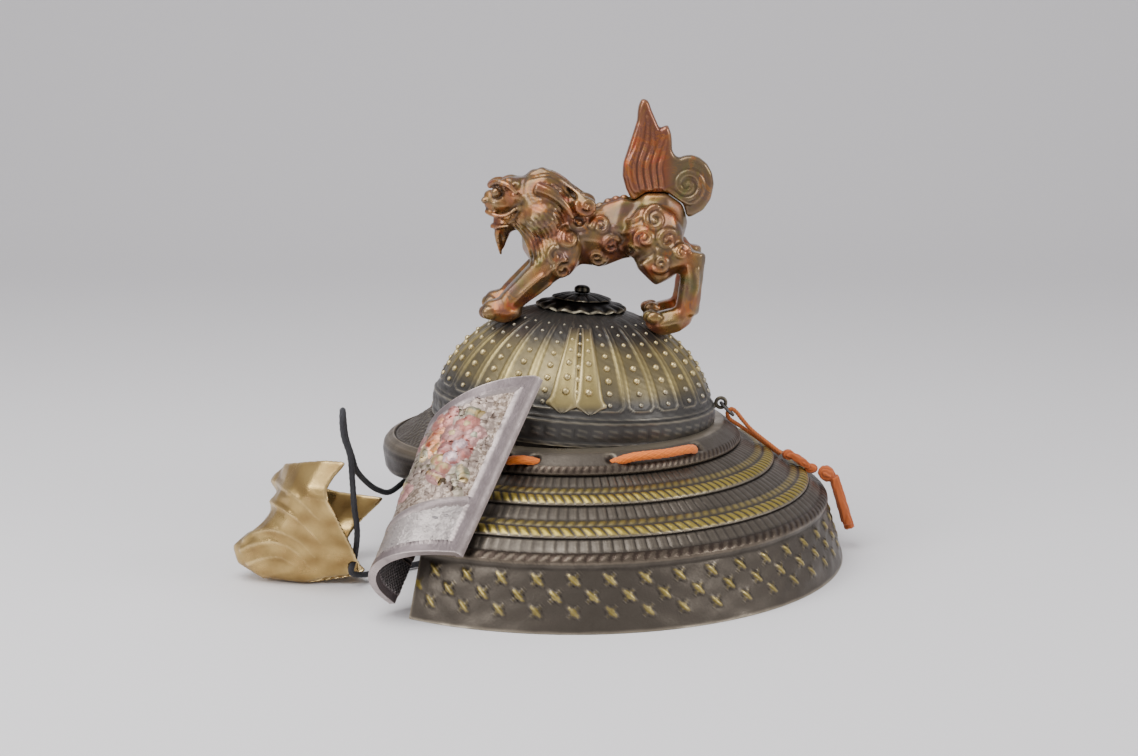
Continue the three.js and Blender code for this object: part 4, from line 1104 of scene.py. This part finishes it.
LEAVES = [   # across, up, half length, half width, turn, colour, vein
    (41, 70, 7.5, 3.1, 105, ORANGE, RED), (44, 63, 4.5, 2.4, 70, GREEN, OCHRE),
    (30, 44.5, 6, 2.2, 35, ROSE, OCHRE), (36, 63, 3.6, 2, 140, OCHRE, ORANGE),
    (52, 50, 5.5, 2.3, 60, GREEN, OCHRE), (56, 84, 5.5, 2.3, 120, ROSE, OCHRE),
    (17, 46, 4.4, 1.8, 60, GREEN, OCHRE), (36, 86, 4.6, 2, 80, ROSE, RED),
    (63, 70, 5, 2.2, 60, ORANGE, RED), (25, 84, 4, 1.8, 20, GREEN, OCHRE),
]
FLOWERS = [   # across, up, size, petals, colour, heart
    (31, 71.5, 4.6, 5, ROSE, OCHRE), (25.5, 76.5, 4.8, 5, RED, OCHRE),
    (19.5, 69.5, 4.8, 5, ROSE, GREEN), (40, 81, 4.8, 5, RED, ORANGE), (54, 72, 5.4, 6, ROSE, OCHRE),
    (60, 58, 5, 5, RED, OCHRE), (47, 40, 4.4, 5, ROSE, OCHRE), (66, 84, 4.4, 5, RED, OCHRE),
]
FRUIT = [   # across, up, size, colour
    (26.8, 55.6, 4.0, MAUVE), (24.4, 63, 3.6, MAUVE), (31.5, 62, 3.4, ROSE),
    (32.5, 55.5, 2.6, OCHRE), (20.5, 58.5, 2.4, ROSE), (28.4, 50.2, 2.2, OCHRE),
]

# %% Make one plate
sheet, share_in, share_up = sheet_of_points(150, 210)
at = share_in * (len(run_in) - 1)
low = np.clip(at.astype(int), 0, len(run_in) - 2)
between_them = (at - low)[:, None]
spine = run_in[low] * (1 - between_them) + run_in[low + 1] * between_them
head = np.interp(at, np.arange(len(run_in)), head_in)
x = np.interp(at, np.arange(len(run_in)), across_mm)
y = spine[:, 2] + (head - spine[:, 2]) * share_up
tangent = run_in[low + 1, :2] - run_in[low, :2]
tangent /= np.linalg.norm(tangent, axis=1)[:, None]

relief = Relief(x, y)
rng = np.random.default_rng(5)
for a, b, radius, start, turns in SCROLLS:
    relief.curl(a, b, radius, start, turns, 0.95, 1.0, (0.20, 0.14, 0.11))
for points in STEMS:
    relief.stroke(points, 0.9, 0.9, (0.17, 0.15, 0.09))
for a, b, long, wide, turn, colour, vein in LEAVES:
    relief.leaf(a, b, long, wide, turn, 1.5, colour, vein)
for a, b, size, petals, colour, heart in FLOWERS:
    relief.flower(a, b, size, petals, 1.5, colour, heart)
for a, b, size, colour in FRUIT:
    relief.boss(a, b, size, size * 0.92, 20, 2.1, colour)
    relief.curl(a, b, size * 1.25, 60, 0.75, 0.7, 1.7, RED)

# %% Border, lip, cross-cut band and sandy ground
LIP_FOOT, LIP_HEAD, FOOT_RIM, HEAD_RIM = 0.262, 0.295, 0.055, 0.928     # shares of the length
inner_edge = smooth((6.4 - x) / 0.8)
lip = smooth((LIP_HEAD - share_up) / 0.008) * smooth((share_up - LIP_FOOT) / 0.012)
foot_rim = smooth((FOOT_RIM - share_up) / 0.008)
head_rim = smooth((share_up - HEAD_RIM) / 0.008)
front = smooth((62 - x) / 6)
across_it = np.maximum(np.maximum(lip, foot_rim), head_rim)
border = np.maximum(inner_edge, across_it * np.where(share_up > 0.5, front, 1))
in_band = smooth((LIP_FOOT - share_up) / 0.01) * (1 - foot_rim) * (1 - inner_edge)
cuts = np.abs(np.sin((x + y) * 1.35)) ** 0.6 * np.abs(np.sin((x - y) * 1.35)) ** 0.6
ripple = np.sin(x * 2.1 + 3 * np.sin(y * 0.8)) * np.sin(y * 1.9 + 2 * np.sin(x * 0.9))
sand = 0.16 * rng.random(len(x)) + 0.10 * ripple
field = (1 - border) * (1 - in_band)
lift = 1.2 * border + in_band * (0.9 * cuts + 0.15 * sand) + field * (sand + relief.height)
lift *= smooth(share_in * 80) * 0.999 + 0.001
amount = relief.amount * field
warm = field * (1 - relief.amount)
SANDY, STEEL, BAND_GREY = np.array([[0.23, 0.165, 0.115], [0.21, 0.175, 0.185], [0.16, 0.15, 0.155]])
tone = relief.colour * amount[:, None] + warm[:, None] * SANDY * 0.6
tone += border[:, None] * STEEL * 0.8 + in_band[:, None] * BAND_GREY * 0.9
total = amount + warm * 0.6 + border * 0.8 + in_band * 0.9
paint(sheet, tone / np.maximum(total, 1e-6)[:, None], np.clip(total, 0, 1))
flat = spine[:, :2] * [1, -1]
normal = np.column_stack([tangent[:, 1], tangent[:, 0]])
placed = flat + normal * lift[:, None]
narrow = 1 - PLATE_NARROW * (1 - share_up)
spot = np.column_stack([placed[:, 1] * OUTWARD[0], -placed[:, 0] * narrow, placed[:, 1] * OUTWARD[2]])
spot = PLATE_FOOT + spot + RISE * y[:, None]
move_points(sheet, metres(spot))
settle("flowered_plate_left")
give_wall(sheet, PLATE_WALL)
soften(sheet, 55)
finished(sheet, "plate bronze", "plate_bronze", "side_plate_left")

# %% The right plate is its mirror
plate_right = twin(sheet, Matrix.Diagonal((-1, 1, 1, 1)))
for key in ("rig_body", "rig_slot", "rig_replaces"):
    if key in plate_right:
        del plate_right[key]
plate_right.parent = None
plate_right.name = plate_right.data.name = "flowered_plate_right"
in_edit(plate_right, lambda: bpy.ops.mesh.flip_normals())
finished(plate_right, "plate bronze", "plate_bronze", "side_plate_right")

# %% [markdown]
# ## The lion and its tail
# The lion is one cast body under glossy mottled lacquer. Its masses come from the solid, which is
# merged, remeshed and smoothed, so the facets melt into muscle. The mane, the curls and the spine
# are tapered strands drawn in side view, dropped onto the surface, and fused in by a second remesh.

# %% Strands drawn on a surface
def strand(points, thick, thin, sides=7):
    """A tapered tube through points in metres, with radii in millimetres."""
    line, _ = smooth_line(points, 0.8 * MM)
    across, up = frames_along(line)
    share = np.linspace(0, 1, len(line))
    radius = (thick + (thin - thick) * share) * np.clip(share * 12 + 0.35, 0, 1) * MM
    turn = np.linspace(0, 2 * np.pi, sides, endpoint=False)
    ring = (across[:, None] * np.cos(turn)[None, :, None] + up[:, None] * np.sin(turn)[None, :, None])
    verts = (line[:, None] + ring * radius[:, None, None]).reshape(-1, 3)
    faces = [(i * sides + j, i * sides + (j + 1) % sides, (i + 1) * sides + (j + 1) % sides,
              (i + 1) * sides + j)
             for i in range(len(line) - 1) for j in range(sides)]
    faces += [tuple(range(sides))[::-1], tuple(range(len(verts) - sides, len(verts)))]
    mesh = bpy.data.meshes.new("strand")
    mesh.from_pydata([tuple(v) for v in verts], [], faces)
    piece = bpy.data.objects.new("strand", mesh)
    bpy.context.collection.objects.link(piece)
    return piece


def surface_of(piece):
    mesh = piece.data
    return BVHTree.FromPolygons([v.co.copy() for v in mesh.vertices],
                                [tuple(p.vertices) for p in mesh.polygons])


def drop_on(tree, points, side=1, sunk=0.3):
    """Side-view points (y, z in mm) carried onto the surface seen from one side."""
    landed = []
    for y, z in points:
        start = Vector(metres([(0, y, z)])[0])
        start.x = side * 0.4
        hit, *_ = tree.ray_cast(start, Vector((-side, 0, 0)))
        if hit:
            landed.append((hit.x - side * sunk * MM, hit.y, hit.z))
    return landed


def side_line(points, step=2):
    """A smooth side-view line through (y, z) points."""
    return [tuple(p) for p in smooth_line([(a, b, 0) for a, b in points], step)[0][:, :2]]


def without_jumps(landed, reach):
    """Drops the points that landed on another part of the surface, further off than reach."""
    return [p for p, q in zip(landed, landed[:1] + landed[:-1]) if math.dist(p, q) < reach * MM]


def spiral(y, z, radius, start, turns):
    steps = np.linspace(0, 1, 22)
    angle = np.radians(start) + steps * turns * 2 * np.pi
    r = radius * (1 - 0.88 * steps)
    return list(zip(y + r * np.cos(angle), z + r * np.sin(angle)))


def lump(at, radii):
    bpy.ops.object.select_all(action="DESELECT")
    bpy.ops.mesh.primitive_uv_sphere_add(segments=20, ring_count=12, radius=1, location=metres([at])[0],
                                         scale=[r * MM for r in radii])
    return settle("lump")


def remeshed(piece, voxel, rounds, factor=0.5):
    remesh = piece.modifiers.new("fuse", "REMESH")
    remesh.mode = "VOXEL"
    remesh.voxel_size = voxel * MM
    remesh.use_smooth_shade = True
    melt = piece.modifiers.new("melt", "SMOOTH")
    melt.factor, melt.iterations = factor, rounds
    apply_all(piece)
    return piece


# %% The lion's masses, its mane and curls
lion = remeshed(solid_copy("lion", "lacquered_lion"), 1.1, 14)
tree = surface_of(lion)
LOCKS = [[(-27, 222), (-14, 226), (-1, 219), (7, 209)], [(-29, 217), (-15, 219), (-4, 211), (3, 200)],
         [(-29, 211), (-16, 211), (-7, 203), (-3, 192)], [(-30, 204), (-19, 202), (-12, 193), (-9, 182)],
         [(-32, 199), (-24, 193), (-19, 184), (-17, 174)], [(-36, 195), (-30, 186), (-27, 178), (-26, 170)]]
CURLS = [(8, 206, 6.5, 120, 1.5), (4, 197, 6, 110, 1.5), (-2, 188, 5.5, 100, 1.5), (-9, 178, 5.5, 90, 1.5),
         (-29, 200, 5.5, 200, -1.4),
         (-6, 170, 6, 60, 1.4), (16, 194, 5.5, 200, -1.5), (22, 183, 5.5, 20, 1.4), (33, 180, 5, 200, -1.4),
         (47, 199, 7, 60, 1.6),
         (41, 188, 6, 240, -1.5), (54, 187, 6, 30, 1.5), (50, 174, 5, 200, 1.4), (62, 180, 4.5, 0, 1.3),
         (14, 176, 5, 0, -1.4)]
SINEWS = [[(-16, 168), (-26, 160), (-34, 152)], [(-12, 163), (-22, 155), (-31, 149)],
          [(66, 174), (67, 162), (64, 150)], [(71, 172), (71, 160), (68, 150)],
          [(30, 196), (38, 200), (45, 206)], [(28, 190), (36, 193), (42, 197)]]
added = []
for side in (1, -1):
    for top, bottom in zip(LOCKS[:-1], LOCKS[1:]):
        for share in (0, 0.25, 0.5, 0.75):
            path = [(a + (c - a) * share, b + (d - b) * share) for (a, b), (c, d) in zip(top, bottom)]
            landed = drop_on(tree, side_line(path, 2.5), side)
            if len(landed) > 4:
                added.append(strand(landed, 1.5, 0.9))
    for y, z, radius, start, turns in CURLS:
        landed = drop_on(tree, spiral(y, z, radius, start, turns), side, 0.1)
        landed = without_jumps(landed, 4)
        if len(landed) > 5:
            added.append(strand(landed, 1.9, 1.1))
        added.append(strand([(p[0] + side * 0.4 * MM, p[1], p[2]) for p in landed[-4:]], 1.5, 1.3))
    for legs in SINEWS:
        landed = drop_on(tree, side_line(legs), side, 0.5)
        if len(landed) > 3:
            added.append(strand(landed, 1.6, 0.8))
    added.append(lump((side * 8.2, -44.5, 213), (2.9, 2.9, 2.9)))
    added.append(lump((side * 3.4, -51.2, 208), (2.4, 2.2, 2.0)))
    added.append(strand(metres([(side * 15, -22, 217), (side * 18.5, -12, 213), (side * 19.5, -4, 206),
                                (side * 18.5, 0, 199)]), 4.6, 1.2))
    added.append(strand(metres([(side * 3, -49, 216), (side * 8, -45, 219), (side * 13, -38, 218),
                                (side * 15, -32, 213)]), 2.2, 1.2))
    added.append(strand(metres([(side * 2, -51, 202), (side * 8, -46, 200), (side * 11, -39, 200),
                                (side * 12.5, -33, 204)]), 1.6, 1.0))
    added.append(strand(metres([(side * 2, -48, 193), (side * 7, -43, 193), (side * 10, -37, 194)]), 1.4,
                        0.9))
    for toe in (-6, -2, 2, 6):
        added.append(lump((side * 20 + toe, -51 + abs(toe) * 0.5, 145.5), (2.5, 4.6, 4.0)))
        added.append(lump((side * 19 + toe, 43.5 + abs(toe) * 0.5, 142.5), (2.5, 4.6, 3.6)))
for k in range(12):
    y = 2 + 4.6 * k
    hit, *_ = tree.ray_cast(Vector(metres([(0, y, 260)])[0]), Vector((0, 0, -1)))
    if hit:
        added.append(lump((0, y, hit.z / MM), (2.4, 2.6, 2.2)))
for sway in (-3, 0, 3):
    added.append(strand(metres([(sway, -41, 196), (sway * 1.1, -44, 189), (sway * 0.6, -43, 181),
                                (0, -42, 176)]), 2.6, 0.8))
lion = join([lion] + added, "lacquered_lion")
remeshed(lion, 0.75, 3, 0.4)
settle("lacquered_lion")
print("lion has", len(lion.data.polygons), "faces")

# %% Its lacquer, mottled by place
spot = points_of(lion) / MM
clouds = (np.sin(spot[:, 1] * 0.31 + 2 * np.sin(spot[:, 2] * 0.17))
          + np.sin(spot[:, 2] * 0.37 + 2 * np.sin(spot[:, 0] * 0.23))
          + np.sin(spot[:, 1] * 0.13 - spot[:, 2] * 0.21)) / 3
shades = np.array([(0.33, 0.045, 0.02), (0.50, 0.14, 0.03), (0.36, 0.22, 0.06), (0.11, 0.12, 0.05),
                   (0.17, 0.085, 0.095)])
pick_shade = np.clip((clouds + 1) / 2 * (len(shades) - 1), 0, len(shades) - 1.001)
low_shade = pick_shade.astype(int)
mixed = shades[low_shade] + (shades[low_shade + 1] - shades[low_shade]) * (pick_shade - low_shade)[:, None]
paint(lion, mixed, np.full(len(spot), 0.55))
finished(lion, "lion lacquer", "lion_bronze", "lion")

# %% The tail plume
tail = remeshed(solid_copy("lion_tail", "lion_plume"), 0.9, 6)
tail_tree = surface_of(tail)
LICKS = [[(44, 203), (37, 214), (35, 228), (39.5, 246), (41, 260)],
         [(45, 204), (40, 215), (38.5, 228), (42.5, 243), (43, 256)],
         [(47, 205), (44, 216), (42.5, 228), (46, 240), (45.5, 250)],
         [(49, 206), (47.5, 218), (46.5, 229), (49, 238), (52.6, 246)],
         [(51, 206), (51, 217), (50, 227), (52, 235), (53.5, 243)],
         [(41, 207), (34.5, 216), (32.5, 228), (37, 240), (39.6, 252)]]
tail_added = []
for side in (1, -1):
    for lick in LICKS:
        landed = drop_on(tail_tree, side_line(lick), side)
        tail_added.append(strand(landed, 1.5, 0.7))
    for grow in (0, 3):
        landed = drop_on(tail_tree, spiral(66, 217, 12.2 - grow, 190 + grow * 4, 1.7), side)
        tail_added.append(strand(landed, 1.5, 1.0))
tail = join([tail] + tail_added, "lion_plume")
remeshed(tail, 0.6, 2, 0.4)
settle("lion_plume")
spot = points_of(tail) / MM
behind_share = smooth((spot[:, 1] - AXIS_Y / MM - 52) / 8)
flame, scroll = np.array([0.40, 0.085, 0.025]), np.array([0.15, 0.155, 0.07])
plume = (1 - behind_share)[:, None] * flame + behind_share[:, None] * scroll
paint(tail, plume, np.full(len(spot), 0.6))
finished(tail, "lion lacquer", "lion_bronze", "lion_tail")

# %% [markdown]
# ## The face guard
# A hammered brass half-mask with a nose and folded cheeks. It lies on its side edge.
# The solid's arcs are remeshed and smoothed, and the folds are raised on the outer skin.

# %% The mask
mask = remeshed(solid_copy("face_mask", "hammered_mask"), 0.9, 8)
mask_tree = surface_of(mask)
spot = points_of(mask) / MM
print("mask spans", spot.min(axis=0).round(), spot.max(axis=0).round())
FOLDS = [[(-186, 22), (-176, 30), (-164, 33), (-152, 28), (-143, 18)],
         [(-188, 17), (-178, 23), (-165, 26), (-154, 21), (-147, 12)],
         [(-184, 10), (-174, 15), (-163, 17), (-155, 13)],
         [(-178, 40), (-168, 46), (-156, 44), (-146, 36), (-139, 27)],
         [(-168, 54), (-158, 56), (-148, 51), (-139, 42)], [(-186, 31), (-178, 36), (-170, 39)]]
mask_added = []
for fold in FOLDS:
    landed = drop_on(mask_tree, side_line(fold), 1, 0.9)
    landed = without_jumps(landed, 6)
    if len(landed) > 4:
        mask_added.append(strand(landed, 2.1, 1.3))
mask = join([mask] + mask_added, "hammered_mask")
remeshed(mask, 0.9, 5)
settle("hammered_mask")
spot = points_of(mask) / MM
dapple = 0.5 + 0.25 * np.sin(spot[:, 1] * 0.35 + 2 * np.sin(spot[:, 2] * 0.22))
dapple = dapple + 0.25 * np.sin(spot[:, 2] * 0.41 + spot[:, 0] * 0.2)
gold, umber = np.array([0.62, 0.43, 0.17]), np.array([0.34, 0.21, 0.08])
paint(mask, umber + (gold - umber) * dapple[:, None], np.full(len(spot), 0.8))
finished(mask, "mask brass", "mask_brass", "face_mask")
# %% [markdown]
# ## The lug and the tassel
# A lug behind the bowl holds an iron ring. The orange cord runs through the ring, and hangs by a
# tied bow to a tassel of bundled threads. Fine ridges stand for the threads.

# %% The lug behind the bowl
bpy.ops.object.select_all(action="DESELECT")
bpy.ops.mesh.primitive_torus_add(major_radius=2.9 * MM, minor_radius=1.1 * MM, major_segments=28,
                                 minor_segments=12,
                                 location=metres([(0, 87.4, 88)])[0], rotation=(0, math.pi / 2, 0))
eyelet = bpy.context.object
settle("eyelet")
lug = join([eyelet, strand(metres([(0, 84.4, 86.8), (0, 81, 85.4), (0, 77, 84)]), 1.7, 2.4)], "bowl_lug")
soften(lug, 50)
finished(lug, "bowl bronze", "bowl_bronze")

# %% The bow and the tassel
for node, name in {"tassel_bow": "tied_bow", "tassel": "thread_tassel"}.items():
    piece = remeshed(solid_copy(node, name), 0.5, 4)
    spot = points_of(piece)
    normals = np.array([v.normal[:] for v in piece.data.vertices])
    threads = np.sin(spot[:, 0] * 4200 + 2 * np.sin(spot[:, 1] * 700))
    move_points(piece, spot + normals * (0.28 * threads)[:, None] * MM)
    finished(piece, "orange twist", "orange_cord", node)
pieces["rear_ring"] = (frame["nodes"]["rear_ring"], "ring iron")
finished(tassel_cord, "orange twist", "orange_cord", "tassel_cord")

# %% The black cord that ties the mask
# %% [markdown]
# ## Every piece gets its look

# %% Give out the materials
for piece, look in pieces.values():
    piece.data.materials.clear()
    piece.data.materials.append(LOOKS[look])
print("pieces:", len(pieces), "triangles:", sum(len(p.data.loop_triangles) or len(p.data.polygons) * 2
                                                 for p, _ in pieces.values()))
